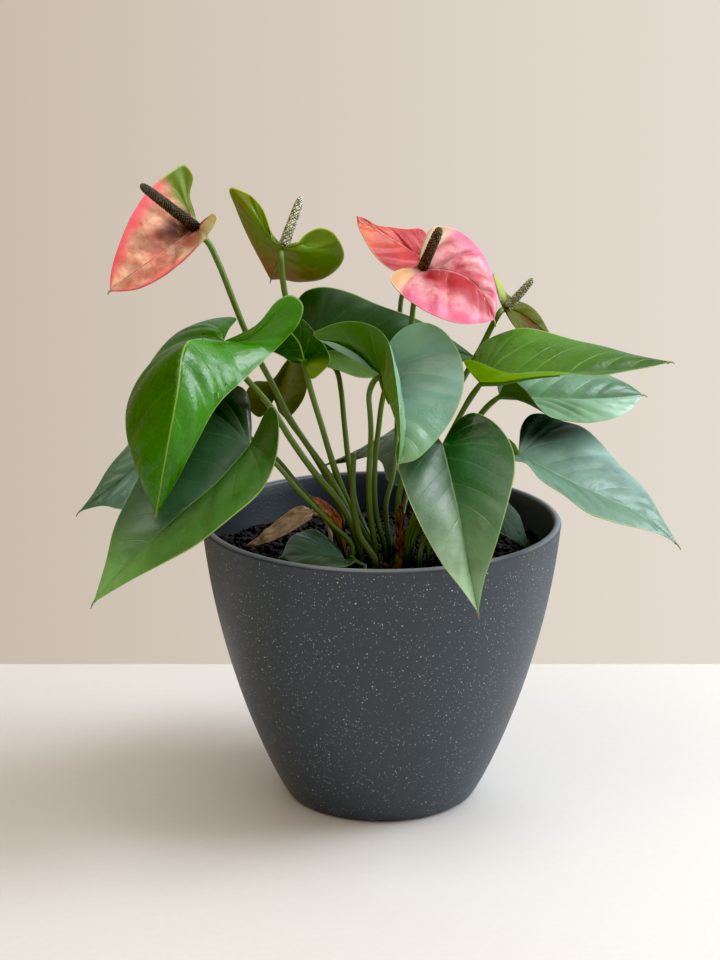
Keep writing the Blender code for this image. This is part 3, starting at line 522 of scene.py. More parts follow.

# The midrib, the two margins and the stalk all start at the joint between blade and petiole. A point
# is (across, down, depth): across and down in the view, depth in mm behind the planter's middle.
# The greens of a leaf's halves, tip and lobes carry painted light as well as its own colour: a pale bluish
# green stands for the sheen of a part that faces the light, a dark green for the shade of a part turned away,
# and a bright yellow-green for light shining through the blade.
LEAVES = {
    "leaf_front_left": dict(
        midrib=((223, 342, -45), (200, 339, -60), (185, 346, -74), (177, 395, -92), (166, 455, -98),
                (156, 514, -96)),
        left=((225, 332, -38), (236, 318, -22), (212, 319, -18), (180, 332, -26), (150, 362, -42),
              (129, 400, -60), (128, 440, -74), (140, 480, -88)),
        right=((250, 335, -47), (262, 320, -46), (278, 300, -43), (292, 295, -40), (303, 305, -38),
               (299, 323, -39), (278, 347, -44), (249, 375, -61), (219, 404, -79), (193, 448, -91),
               (174, 485, -95)),
        stalk=((232, 360, -42), (244, 376, -40), (270, 406, -37), (290, 438, -35), (311, 468, -34),
               (346, 513, -36)),
        root=(-11, -39), bulge=(3, 1), left_bend=(221, 328, -33), right_bend=(256, 346, -47),
        stalk_width=4.2, puffing=0.95, gloss=0.28, shine=0.35, coat=(0.0, 0.5), creasing=3.0, rib_from=0.57,
        lobe_shares=(0.0, 0.6), left_half=(48, 104, 2), right_half=(60, 132, 4), deep=(24, 66, 2),
        lobe=(58, 112, 0), tip=(50, 120, 0), vein=(140, 178, 48), under=(84, 124, 20)),
    # its pale tip is a painted sheen and its dark lobes a painted shade
    "leaf_low_left": dict(
        midrib=((250, 446, -58), (218, 482, -72), (183, 512, -84), (139, 553, -94), (94, 602, -98)),
        left=((249, 432, -50), (250, 407, -38), (243, 388, -30), (225, 385, -28), (195, 400, -34),
              (160, 436, -50), (137, 478, -64), (115, 527, -82), (106, 562, -90)),
        right=((258, 438, -60), (261, 423, -61), (266, 411, -62), (272, 406, -63), (277, 413, -65),
               (279, 436, -76), (275, 462, -88), (260, 491, -102), (234, 516, -110), (200, 543, -113),
               (165, 562, -111), (128, 582, -106)),
        stalk=((262, 453, -52), (275, 463, -46), (300, 492, -44), (330, 523, -43), (352, 545, -44)),
        root=(-15, -46), bulge=(2, 3), stalk_width=3.2, puffing=0.2, gloss=0.32, shine=0.5, tip_from=0.72,
        lobe_reach=0.46, lobe_shares=(1.0, 0.6), left_half=(64, 100, 66), right_half=(70, 120, 44),
        deep=(18, 48, 6), lobe=(8, 36, 2), tip=(140, 196, 110), vein=(128, 160, 88), under=(92, 130, 58)),
    # its pale bluish halves are a painted sheen
    "leaf_far_left": dict(
        midrib=((212, 402, -6), (170, 440, -14), (125, 478, -24), (80, 511, -30)),
        left=((214, 388, 5), (208, 374, 14), (190, 374, 17), (160, 400, 8), (130, 441, -8), (109, 468, -18),
              (93, 494, -27)),
        right=((222, 412, -10), (226, 430, -14), (212, 447, -22), (190, 465, -27), (150, 492, -32),
               (124, 509, -34), (103, 506, -33)),
        stalk=((240, 430, -20), (275, 457, -30), (302, 490, -34), (325, 517, -36), (337, 536, -37)),
        root=(-20, -37), stalk_width=3.0, puffing=0.8, gloss=0.34, creasing=2.0, left_half=(80, 130, 100),
        right_half=(106, 152, 142), deep=(50, 84, 54), tip=(70, 104, 70), vein=(120, 150, 110),
        under=(92, 126, 70)),
    # its pale yellow-green lobe is painted light shining through it
    "leaf_centre_left": dict(
        midrib=((304, 361, -24), (298, 342, -22), (286, 330, -22), (272, 330, -26), (256, 346, -34)),
        left=((298, 363, -26), (289, 361, -30), (279, 354, -29), (270, 352, -28), (262, 353, -31)),
        right=((307, 370, -26), (312, 379, -30), (322, 372, -30), (330, 362, -27), (327, 350, -21),
               (318, 338, -14), (304, 320, -11), (286, 314, -14), (268, 326, -24)),
        stalk=((307, 375, -23), (311, 391, -22), (322, 427, -24), (335, 468, -26), (351, 509, -26)),
        root=(-5, -26), face=(0.3, -0.6, 1), bulge=(1, 2), puffing=0.1, gloss=0.7, shine=0.05,
        lobe_reach=0.3, lobe_shares=(0.0, 0.85), left_half=(26, 58, 0), right_half=(24, 56, 0),
        deep=(16, 40, 0), lobe=(122, 148, 44), tip=(50, 88, 12), vein=(110, 140, 50), under=(92, 128, 20)),
    "leaf_young_bronze": dict(
        midrib=((275, 396, 34), (281, 380, 28), (288, 365, 20), (295, 350, 12)),
        left=((269, 408, 34), (260, 417, 32), (249, 409, 28), (245, 395, 26), (254, 382, 26),
              (270, 381, 26), (284, 364, 18)),
        right=((279, 412, 32), (286, 418, 28), (298, 408, 22), (306, 392, 16), (308, 376, 12),
               (303, 360, 10)),
        stalk=((281, 408, 28), (291, 424, 20), (305, 443, 10), (324, 474, 0), (341, 512, -12)),
        root=(-20, -20), face=(0, 1, 0.3), bulge=(-2, -4), stalk_width=2.8, puffing=0.1, gloss=0.3,
        shine=0.35, left_half=(60, 70, 14), right_half=(60, 70, 14), deep=(104, 58, 26), tip=(60, 70, 14),
        vein=(96, 100, 40), under=(96, 108, 30)),
    # its paler right half is a painted sheen
    "leaf_back_dark": dict(
        midrib=((312, 352, 12), (345, 351, 16), (388, 346, 22), (435, 348, 26), (476, 358, 26)),
        left=((306, 337, 14), (298, 318, 18), (297, 302, 24), (306, 291, 28), (324, 287, 30),
              (350, 293, 32), (373, 302, 33), (409, 316, 33), (440, 332, 32), (462, 347, 29)),
        right=((314, 360, 4), (324, 366, -6), (337, 370, -10), (361, 377, -8), (395, 375, 0),
               (430, 369, 10), (458, 363, 20)),
        stalk=((326, 361, 12), (336, 369, 10), (341, 390, 6), (344, 420, 0), (349, 465, -7),
               (357, 510, -12)),
        root=(-5, -13), face=(0, -0.6, 1), gloss=0.42, shine=0.2, lobe_shares=(0.4, 0.0),
        left_half=(40, 72, 24), right_half=(78, 110, 46), deep=(24, 52, 12), tip=(56, 92, 44),
        vein=(96, 124, 70), under=(80, 110, 50)),
    # its pale bluish halves, lobes and veins are a painted sheen
    "leaf_centre_folded": dict(
        midrib=((381, 374, -34), (384, 388, -48), (391, 406, -62), (397, 425, -74), (400, 445, -83),
                (398, 464, -89)),
        left=((370, 366, -40), (355, 353, -44), (336, 343, -46), (318, 339, -48), (313, 334, -50),
              (325, 327, -52), (339, 322, -54), (352, 321, -58), (370, 326, -66), (385, 338, -76),
              (393, 358, -86), (397, 383, -92), (399, 413, -95), (400, 440, -93)),
        right=((384, 352, -36), (396, 334, -38), (412, 324, -40), (428, 323, -42), (445, 332, -46),
               (460, 355, -52), (464, 381, -59), (460, 402, -66), (449, 424, -74), (433, 444, -82),
               (415, 460, -88)),
        stalk=((374, 381, -30), (369, 395, -28), (370, 412, -28), (371, 434, -28), (369, 472, -30),
               (370, 513, -32)),
        root=(-3, -34), face=(0.5, -0.7, 0.4), bulge=(3, 2), puffing=0.4, gloss=0.3, creasing=1.6,
        veining=0.2, lobe_shares=(0.8, 0.8), left_half=(122, 164, 144), right_half=(122, 164, 144),
        deep=(78, 120, 92), lobe=(150, 190, 162), tip=(112, 152, 92), vein=(170, 204, 160),
        under=(84, 132, 4)),
    # its paler left half and near-white tip are a painted sheen
    "leaf_front_right": dict(
        midrib=((443, 446, -66), (452, 484, -82), (460, 519, -96), (468, 562, -107), (478, 613, -112)),
        left=((436, 436, -60), (424, 424, -54), (408, 426, -54), (398, 442, -62), (396, 460, -74),
              (403, 483, -90), (411, 505, -100), (421, 527, -105), (443, 565, -112), (463, 591, -114)),
        right=((448, 440, -62), (455, 424, -60), (471, 413, -60), (488, 418, -66), (502, 430, -74),
               (513, 450, -86), (515, 470, -96), (508, 501, -106), (497, 542, -113), (484, 581, -115)),
        stalk=((440, 451, -56), (430, 475, -46), (414, 518, -40), (404, 545, -40)),
        root=(8, -43), face=(0, -1, 0.3), puffing=0.15, gloss=0.36, creasing=1.2, tip_from=0.5,
        tip_shares=(1.0, 0.4), lobe_shares=(0.2, 0.95), left_half=(66, 100, 68), right_half=(30, 94, 38),
        deep=(28, 60, 18), lobe=(18, 48, 10), tip=(210, 246, 202), vein=(164, 194, 140),
        under=(100, 138, 74)),
    # its bright yellow-green back is painted light shining through the blade
    "leaf_right_long": dict(
        midrib=((480, 382, -32), (500, 382, -36), (530, 377, -38), (570, 374, -40), (620, 371, -38),
                (670, 362, -34)),
        left=((474, 370, -20), (476, 354, -12), (484, 342, -8), (503, 333, -6), (522, 329, -6),
              (549, 332, -9), (586, 343, -16), (620, 351, -22), (650, 358, -29)),
        right=((472, 374, -38), (464, 361, -46), (475, 361, -52), (490, 367, -58), (511, 373, -62),
               (541, 373, -62), (567, 373, -60), (600, 375, -54), (640, 369, -44)),
        stalk=((471, 397, -27), (460, 416, -24), (440, 455, -22), (422, 500, -25), (409, 540, -31)),
        root=(13, -34), face=(0, -0.7, 1), bulge=(2, 1), gloss=0.3, shine=0.45, creasing=1.6, veining=0.3,
        tip_from=0.42, lobe_shares=(0.0, 0.0), left_half=(82, 132, 32), right_half=(70, 116, 24),
        deep=(44, 88, 10), tip=(40, 80, 8), vein=(150, 190, 70), under=(176, 226, 24)),
    # its pale bluish halves are a painted sheen and its dark tip a painted shade
    "leaf_right_blue": dict(
        midrib=((499, 395, -14), (520, 397, -16), (560, 399, -18), (604, 399, -16), (643, 395, -10)),
        left=((497, 386, -6), (502, 374, 4), (517, 366, 10), (545, 362, 12), (580, 366, 8), (611, 376, 0),
              (628, 384, -6)),
        right=((503, 386, -20), (512, 381, -27), (526, 391, -35), (539, 407, -38), (551, 418, -37),
               (572, 422, -35), (600, 421, -30), (620, 416, -24), (634, 406, -16)),
        stalk=((490, 404, -12), (481, 414, -12), (458, 448, -12), (432, 495, -14), (416, 535, -17)),
        root=(15, -20), face=(0, -0.7, 1), puffing=0.4, gloss=0.34, creasing=1.2, tip_from=0.5,
        tip_shares=(1.0, 0.2), lobe_shares=(0.5, 0.9), left_half=(134, 176, 148),
        right_half=(160, 198, 170), deep=(40, 70, 30), lobe=(40, 76, 20), tip=(52, 92, 48),
        vein=(142, 172, 136), under=(80, 116, 36)),
    # its pale bluish left half is a painted sheen and its near-black lobe a painted shade
    "leaf_right_low": dict(
        midrib=((519, 455, -38), (549, 471, -46), (592, 492, -56), (635, 512, -62), (677, 544, -64)),
        left=((522, 443, -32), (521, 428, -24), (530, 415, -17), (545, 414, -14), (562, 421, -14),
              (582, 428, -17), (601, 443, -23), (622, 466, -32), (646, 492, -44), (665, 523, -56)),
        right=((514, 457, -46), (509, 460, -56), (515, 461, -64), (527, 464, -70), (540, 478, -75),
               (560, 492, -79), (586, 513, -83), (612, 521, -80), (645, 530, -73), (664, 536, -67)),
        stalk=((511, 444, -33), (495, 438, -29), (470, 458, -28), (442, 503, -31), (424, 540, -35)),
        root=(19, -41), face=(0, -0.8, 1), puffing=0.45, gloss=0.32, shine=0.5, creasing=1.6, veining=0.05,
        lobe_reach=0.54, lobe_shares=(0.97, 0.0), left_half=(138, 168, 158), right_half=(92, 126, 102),
        deep=(20, 42, 16), lobe=(0, 12, 0), tip=(92, 130, 100), vein=(168, 196, 166), under=(100, 136, 84)),
    "leaf_inner_right": dict(
        midrib=((470, 492, -20), (490, 505, -26), (510, 525, -28), (526, 549, -26)),
        left=((473, 484, -12), (482, 482, -8), (496, 488, -6), (511, 505, -10), (521, 522, -14),
              (526, 536, -20)),
        right=((466, 498, -24), (468, 508, -30), (480, 519, -35), (497, 530, -37), (513, 540, -33)),
        stalk=((455, 500, -20), (440, 518, -22), (430, 540, -26)),
        root=(24, -30), face=(0, -1, 0.5), bulge=(1.5, 1.5), stalk_width=2.8, gloss=0.6, shine=0.15,
        left_half=(50, 74, 50), right_half=(50, 74, 50), deep=(22, 40, 16), tip=(34, 56, 30),
        vein=(80, 104, 66), under=(70, 96, 50)),
    "leaf_inner_left": dict(
        midrib=((344, 560, -54), (325, 556, -60), (305, 556, -64), (282, 557, -64)),
        left=((340, 550, -48), (328, 538, -42), (312, 530, -40), (297, 533, -44), (287, 544, -52)),
        right=((350, 555, -60), (356, 560, -68), (346, 566, -76), (325, 568, -80), (300, 565, -76)),
        stalk=((354, 561, -52), (362, 565, -52)),
        root=(-9, -54), face=(0, -0.6, 1), bulge=(1.5, 1.5), stalk_width=2.8, gloss=0.3,
        left_half=(54, 86, 64), right_half=(40, 72, 20), deep=(20, 42, 16), tip=(34, 60, 34),
        vein=(80, 108, 64), under=(70, 100, 40)),
    "leaf_back_low": dict(
        midrib=((420, 440, 40), (400, 433, 46), (366, 449, 56), (325, 465, 64)),
        left=((419, 430, 46), (410, 424, 52), (396, 427, 57), (383, 437, 60), (362, 450, 62),
              (342, 459, 65)),
        right=((421, 455, 36), (415, 474, 34), (400, 486, 36), (387, 480, 38), (382, 463, 42),
               (370, 457, 50), (348, 462, 60)),
        stalk=((417, 455, 28), (408, 490, 14), (399, 530, 0)),
        root=(7, -12), face=(0, -1, 0.5), bulge=(1.5, 1.5), stalk_width=3.0, gloss=0.4,
        left_half=(120, 146, 140), right_half=(120, 146, 140), deep=(100, 126, 118), tip=(48, 72, 50),
        vein=(90, 112, 84), under=(80, 106, 84)),
}

BLADE = 0.8             # mm thick
BLADE_EDGE = 0.35
BLADE_ROWS = 105
BLADE_COLUMNS = 16
SPINE_POINTS = 600
FAN = 0.4               # share of the margin whose veins all start at the petiole
VEIN_SLANT = 1.15
LEAF_VEINS = 10
PUFF_ROOM = 12.0        # mm between two veins from which the blade puffs in full
LOBE_BULGE = 0.2        # a lobe's share of the bulge that the rest of the blade has
FULL_WIDTH = 22.0       # mm from midrib to margin from which a blade bulges in full
RIB_SHARE = 0.5         # how far the stalk goes on under the blade, as its raised rib
RIB_WIDTH = 0.75
RIB_TIP = 0.4
ROOT_BEND = 6.0         # mm above and below the soil where a stalk stands upright
HOLE_DEPTH = 13.0
STALK_SIDES = 14
STALK_STEP = 3.0        # mm from one point of its run to the next
SLIMMER = 0.88          # a petiole's share of the width that its solid has
KNEE = 0.16             # the swelling below a petiole's joint, as a share of its radius
KNEE_AT = 9.0           # mm down the petiole
KNEE_LENGTH = 6.0
DRIP_LENGTH = 2.6       # mm, the dry thread at the tip
WAVE = 0.6              # mm that a blade's margin waves
VEIN_SWAY = 0.16        # how far a main vein wanders, as a share of the gap between two
VEIN_OFFSET = 0.35      # how much further on the veins of the right half start
VEIN_CURVE = 0.55       # how far a vein bends towards the tip by the time it is at the margin


def seen(point):
    """The place in millimetres of a point given as (across, down, depth)."""
    across, down, depth = point
    ray = VIEW_FORWARD + VIEW_UPWARD * (VIEW_HEIGHT / 2 - down) / VIEW_LENS
    ray[0] += (across - VIEW_WIDTH / 2) / VIEW_LENS
    return VIEW_FROM + ray * (depth - VIEW_FROM[1]) / ray[1]


def trace(points):
    return np.array([seen(p) for p in points])


def smooth_curve(points, count):
    """count points spaced evenly along a smooth curve through the given ones."""
    points = np.asarray(points, float)
    ends = np.vstack((2 * points[0] - points[1], points, 2 * points[-1] - points[-2]))
    fine = []
    for near in zip(ends, ends[1:], ends[2:], ends[3:]):
        steps = [math.sqrt(np.linalg.norm(q - p)) + 1e-6 for p, q in zip(near, near[1:])]
        knots = np.cumsum([0.0] + steps)
        t = np.linspace(knots[1], knots[2], 24, endpoint=False)[:, None]
        # blend four points to three, three to two and two to the curve
        for reach, first in ((1, 0), (2, 0), (1, 1)):
            near = [one + (two - one) * (t - knots[k]) / (knots[k + reach] - knots[k])
                    for k, (one, two) in enumerate(zip(near, near[1:]), first)]
        fine += near
    fine = np.vstack(fine + [points[-1:]])
    run = np.concatenate(([0.0], np.cumsum(np.linalg.norm(np.diff(fine, axis=0), axis=1))))
    wanted = np.linspace(0.0, run[-1], count)
    return np.column_stack([np.interp(wanted, run, fine[:, k]) for k in range(3)])


def point_normals(points, faces):
    """Unit normals at the points of a mesh of three- and four-sided faces."""
    normals = np.zeros_like(points)
    # what spans a face: two edges of a triangle, or the two diagonals of a four-sided one
    for a, b, c, d in ((0, 1, 0, 2), (0, 2, 1, 3)):
        corners = np.array([f for f in faces if len(f) == d + 1], int).reshape(-1, d + 1).T
        cross = np.cross(points[corners[b]] - points[corners[a]], points[corners[d]] - points[corners[c]])
        for corner in corners:
            np.add.at(normals, corner, cross)
    return normals / np.maximum(np.linalg.norm(normals, axis=1, keepdims=True), 1e-12)


def rise(values, start, end):
    """0 at start, 1 at end, smooth between."""
    part = np.clip((values - start) / (end - start), 0.0, 1.0)
    return part * part * (3 - 2 * part)


class Sheet:
    """The middle surface of a blade: veins ruled from the midrib out to the margin on both sides.

    along goes from 0 at the joint to 1 at the tip, and share from 0 on the midrib to 1 at the margin.
    side is 0 on the left half and 1 on the right, and taper is less than 1 where the blade is narrow.
    """

    def __init__(self, plan, rows, columns):
        spine = smooth_curve(trace(plan["midrib"]), SPINE_POINTS)
        along = np.linspace(0.0, 1.0, rows)
        starts = np.clip((along - FAN) / (1 - FAN), 0.0, 1.0) ** VEIN_SLANT
        share = np.linspace(0.0, 1.0, columns + 1)
        # each point's place, and its along, share, side and the width of the half that it is in
        points, kept = [], []
        spine_index = []
        for row, start in enumerate(starts):
            if row == 0 or start > 0:
                points.append(spine[int(round(start * (SPINE_POINTS - 1)))])
                kept.append((along[row] if start > 0 else FAN, 0.0, 0.5, 0.0))
            spine_index.append(len(points) - 1)
        self.spine_count = len(points)
        self.grids = []
        for side, name in enumerate(("left", "right")):
            edge = smooth_curve(np.vstack((trace(plan[name]), spine[-1])), rows)
            bend = plan.get(name + "_bend")
            grid = np.full((rows, columns + 1), self.spine_count - 1)
            for row in range(rows - 1):
                grid[row, 0] = spine_index[row]
                root = points[spine_index[row]]
                pull = np.zeros(3)
                if bend:
                    pull = (seen(bend) - (root + edge[row]) / 2) * rise(along[row], 0.02, 0.12)
                    pull = pull * rise(along[row], 0.5, 0.3)
                width = np.linalg.norm(edge[row] - root)
                for column in range(1, columns + 1):
                    grid[row, column] = len(points)
                    bow = 2 * share[column] * (1 - share[column])
                    points.append(root + (edge[row] - root) * share[column] + pull * bow)
                    kept.append((along[row], share[column], side, width))
            self.grids.append(grid)
        self.points = np.array(points)
        self.along, self.share, self.side, widths = np.array(kept).T
        self.taper = np.minimum(widths / FULL_WIDTH, 1.0)
        self.faces = []
        for side, grid in enumerate(self.grids):
            for one, two in zip(grid, grid[1:]):
                for column in range(columns):
                    corners = (one[column], one[column + 1], two[column + 1], two[column])
                    face = tuple(dict.fromkeys(int(k) for k in corners))
                    if len(face) > 2:
                        self.faces.append(face if side else face[::-1])
        normals = point_normals(self.points, self.faces)
        if np.sum(normals @ np.asarray(plan["face"], float)) < 0:
            self.faces = [face[::-1] for face in self.faces]
        left, right = self.grids
        rim = list(left[0]) + list(left[1:, -1]) + list(right[-2::-1, -1]) + list(right[0][-2:0:-1])
        self.rim = [int(k) for k in rim]
        self.lobe = LOBE_BULGE + (1 - LOBE_BULGE) * rise(self.along, 0.12, FAN)
        bulge = np.where(self.side < 0.5, *plan["bulge"]) * self.lobe
        self.lift(4 * self.share * (1 - self.share) * self.taper * bulge)
        self.measure()

    def lift(self, height):
        """Move every point along its normal."""
        self.points = self.points + point_normals(self.points, self.faces) * height[:, None]

    def measure(self):
        """How far each point is from the midrib, and how wide one step of the rows is there."""
        spine = self.points[:self.spine_count]
        steps = [spine[:-1] + (spine[1:] - spine[:-1]) * k / 8 for k in range(8)]
        fine = np.vstack(steps + [spine[-1:]])
        self.rib_distance = np.array([np.sqrt(np.min(np.sum((fine - p) ** 2, axis=1))) for p in self.points])
        self.gap = np.zeros(len(self.points))
        for grid in self.grids:
            step = np.linalg.norm(np.gradient(self.points[grid], axis=0), axis=2) * (len(grid) - 1)
            self.gap[grid] = np.maximum(self.gap[grid], step)


def vein_number(sheet, veins):
    """Which main vein a point is nearest: a whole number on a vein, curving towards the tip."""
    sway = VEIN_SWAY * np.sin(sheet.along * 23.0 + 5.0 * sheet.side)
    return sheet.along * veins + VEIN_OFFSET * sheet.side + sway - VEIN_CURVE * sheet.share ** 2


# what a blade's points keep for its finish, in this order
SHEET_VALUES = ("share", "along", "side", "vein_number", "vein_gap", "rib_distance", "under")


def thick_mesh(name, sheet, thickness, edge_thickness, veins):
    """Give a sheet its two faces and a thin rim, with what its finish reads stored on its points."""
    normals = point_normals(sheet.points, sheet.faces)
    half = (edge_thickness + (thickness - edge_thickness) * (1 - sheet.share ** 6)) / 2
    count = len(sheet.points)
    both = np.vstack((sheet.points + normals * half[:, None], sheet.points - normals * half[:, None]))
    faces = list(sheet.faces) + [tuple(k + count for k in reversed(face)) for face in sheet.faces]
    directed = {(f[k], f[(k + 1) % len(f)]) for f in sheet.faces for k in range(len(f))}
    for a, b in zip(sheet.rim, sheet.rim[1:] + sheet.rim[:1]):
        if (a, b) not in directed:
            a, b = b, a
        faces.append((b, a, a + count, b + count))
    mesh = mesh_of(name, both * MM, faces)
    mesh.set_sharp_from_angle(angle=math.radians(55))
    on_sheet = (sheet.share, sheet.along, sheet.side, vein_number(sheet, veins), sheet.gap / veins,
                sheet.rib_distance)
    for label, values in zip(SHEET_VALUES, on_sheet):
        store(mesh, label, np.tile(values, 2))
    store(mesh, "under", np.repeat((0.0, 1.0), count))
    return mesh


def stalk_tree():
    """A round stalk along a run of points that carry its radius."""
    nodes, given = new_tree("stalk", ("Sides", "Int"), ("Stalk finish", "Material"))
    line = nodes.node("GeometryNodeMeshToCurve", None, {0: given["Geometry"]})
    width = nodes.node("GeometryNodeInputNamedAttribute", {"data_type": "FLOAT"}, {"Name": "width"})
    ring = nodes.node("GeometryNodeCurvePrimitiveCircle", None, {"Resolution": given["Sides"], "Radius": 1.0})
    skin = nodes.node("GeometryNodeCurveToMesh", None, {
        "Curve": line, "Profile Curve": ring, "Scale": width, "Fill Caps": True})
    return closed_tree(nodes, skin, given["Stalk finish"])


STALK_TREE = stalk_tree()


def stalk_mesh(name, run, radii, finish):
    base = bpy.data.meshes.new(name)
    base.from_pydata((run * MM).tolist(), [(k, k + 1) for k in range(len(run) - 1)], [])
    store(base, "width", radii * MM)
    store(base, "down", np.linspace(0.0, 1.0, len(run)))
    mesh = grown(name, base, STALK_TREE, {"Sides": STALK_SIDES, "Stalk finish": finish})
    mesh.shade_smooth()
    return mesh


def root_run(root):
    """The straight end of a stalk, in its hole in the soil."""
    x, y = root
    top = soil_height(y)
    return [(x, y, top + above) for above in (ROOT_BEND, 1.0, 1.0 - ROOT_BEND, 1.0 - HOLE_DEPTH)]


def stalk_run(plan, top):
    """The middle of a stalk from its blade to its root, a point every few millimetres."""
    route = np.vstack((top, trace(plan["stalk"]), root_run(plan["root"])))
    length = np.sum(np.linalg.norm(np.diff(route, axis=0), axis=1))
    return smooth_curve(route, max(8, int(length / STALK_STEP)))


def from_middle(finish, number):
    """0 midway between two veins, and a half on a vein."""
    return finish.maths("ABSOLUTE", finish.maths("FRACT", number) - 0.5)


def leaf_finish(name, plan):
    """Two halves in greens that carry painted sheen and painted shade, with darker clouds and lobes, veins, a
    margin and a paler back.
    """
    leaf = Finish(name, {"Specular IOR Level": plan["shine"], "Coat Roughness": 0.2, "Subsurface Weight": 0.3,
                         "Subsurface Scale": 0.0016, "Subsurface Radius": (0.5, 1.0, 0.25)})
    share, along, side, number, gap, rib, under = (leaf.attribute(label) for label in SHEET_VALUES)
    off_vein = from_middle(leaf, number + 0.5)
    fade = leaf.ease(share, 0.95, 0.6) * leaf.ease(gap, 2.0, 7.0)
    main_vein = leaf.ease(off_vein * gap, 0.7, 0.1) * fade
    fine_vein = leaf.ease(from_middle(leaf, number) * gap, 0.45, 0.1) * fade
    begins = plan["rib_from"]
    midrib = leaf.ease(rib / (0.42 + (1.0 - along) * 0.5), 1.0, 0.45)
    midrib = midrib * leaf.ease(along, begins - 0.04, begins + 0.02)
    net = leaf.cells(330.0, feature="DISTANCE_TO_EDGE")
    cloud = leaf.noise(34.0, detail=5.0, roughness=0.6)
    crease = leaf.noise(130.0, detail=3.0, roughness=0.55)
    speck = leaf.noise(700.0, detail=2.0)
    puff = leaf.ease(off_vein, 0.0, 0.5)

    # the half, tip and lobe colours carry each leaf's painted sheen and painted shade
    left, right, deep, tip, vein, below = (paint(*plan[key]) for key in LEAF_TONES)
    half = leaf.mix(leaf.ease(side, 0.3, 0.7), left, right)
    at_tip = leaf.ease(along, plan["tip_from"], 0.95, 0.0, 0.8)
    half = leaf.mix(at_tip * leaf.blend(side, *plan["tip_shares"]), half, tip)
    colour = leaf.mix(leaf.ease(cloud, 0.3, 0.55, 0.45, 0.0), half, deep)
    reach = plan["lobe_reach"]
    lobe = leaf.ease(along + cloud * 0.1, reach + 0.05, reach - 0.15) * leaf.ease(share, 0.05, 0.5)
    lobe = lobe * leaf.blend(side, *plan["lobe_shares"])
    colour = leaf.mix(lobe, colour, paint(*plan.get("lobe", plan["deep"])))
    colour = leaf.mix(puff * 0.15, colour, half)
    veined = leaf.ease(net, 0.09, 0.02) * 0.05 + fine_vein * 0.03 + main_vein * plan["veining"]
    colour = leaf.mix(veined, colour, vein)
    joint = leaf.ease(gap, 1.6, 0.6) * leaf.ease(share, 0.6, 0.2)
    colour = leaf.mix(midrib * 0.8 + joint * 0.5, colour, vein)
    colour = leaf.mix(leaf.ease(share, 0.98, 0.996) * 0.8, colour, LEAF_MARGIN)
    back = leaf.mix(leaf.ease(cloud, 0.35, 0.65, 0.0, 0.3), below, deep)
    back = leaf.mix(main_vein * 0.2 + fine_vein * 0.06 + midrib * 0.4, back, vein)
    leaf.feed("Base Color", leaf.mix(leaf.ease(under, 0.45, 0.55), colour, back))

    wax = leaf.blend(side, *plan["coat"]) * leaf.ease(along, 0.36, 0.44) * leaf.ease(along, 0.85, 0.6)
    leaf.feed("Coat Weight", wax * leaf.ease(cloud, 0.3, 0.5, 0.6, 1.0))
    gloss = plan["gloss"]
    leaf.feed("Roughness", leaf.ease(cloud, 0.25, 0.75, gloss - 0.06, gloss + 0.08) + under * 0.12)
    lift = puff * leaf.ease(gap, 2.0, 9.0, 0.0, 0.5) + leaf.ease(net, 0.0, 0.25) * 0.05 + speck * 0.02
    lift = lift - main_vein * 0.3 - fine_vein * 0.12 + midrib * 0.7
    lift = (lift + crease * plan["creasing"]) * leaf.ease(gap, 0.5, 3.5, 0.1, 1.0)
    leaf.relief(lift * (1.0 - under * 2.0), 0.0003)
    return leaf.material


LEAF_TONES = ("left_half", "right_half", "deep", "tip", "vein", "under")
LEAF_MARGIN = paint(166, 190, 108)


def petiole_finish(name, top, bottom):
    """A faintly streaked stalk whose foot darkens towards the soil, with painted shade where it stands inside
    the planter.
    """
    stalk = Finish(name, {"Specular IOR Level": 0.45})
    long_way = stalk.node("ShaderNodeMapping", None, {"Vector": stalk.place, "Scale": (1.0, 1.0, 0.12)})
    streak = stalk.noise(500.0, detail=2.0, where=long_way)
    down = stalk.attribute("down")
    body = stalk.mix(stalk.ease(down, 0.25, 0.95), paint(*top), paint(*bottom))
    body = stalk.mix(stalk.ease(streak, 0.35, 0.75, 0.0, 0.45), body, paint(*bottom))
    # painted shade on the stalk's foot, down inside the planter
    body = stalk.mix(stalk.ease(down, 0.68, 0.95, 0.0, 0.8), body, paint(40, 52, 16))
    stalk.feed("Base Color", body)
    stalk.feed("Roughness", stalk.ease(streak, 0.3, 0.7, 0.34, 0.48))
    stalk.relief(streak, 0.00006)
    return stalk.material


GREEN_PETIOLE = petiole_finish("petiole_green", (90, 120, 30), (80, 98, 30))
DARK_PETIOLE = petiole_finish("petiole_dark", (74, 96, 26), (74, 78, 30))
DRIP_TIP = petiole_finish("drip_tip", (126, 146, 62), (122, 104, 60))


def water_finish():
    water = Finish("water", {"Transmission Weight": 1.0, "IOR": 1.33, "Roughness": 0.02})
    water.feed("Base Color", paint(250, 255, 250))
    return water.material


WATER = water_finish()
# on which leaf the water drops lie: across, down, width in mm
DROPS = {"leaf_front_left": ((219, 398, 3.4), (203, 340, 1.8), (213, 333, 1.5), (226, 386, 1.6)),
         "leaf_back_dark": ((355, 357, 3.0),),
         "leaf_inner_left": ((318, 548, 1.8), (330, 545, 1.2)),
         "leaf_right_long": ((511, 325, 1.2), (516, 340, 1.0)),
         "leaf_right_blue": ((569, 414, 1.4), (575, 411, 1.0))}


def turned_to(axis):
    """The turn that lays the upright axis of a mesh along another one."""
    side = np.cross(axis, (0.3, 0.9, 0.1))
    side /= np.linalg.norm(side)
    return np.column_stack((side, np.cross(axis, side), axis))


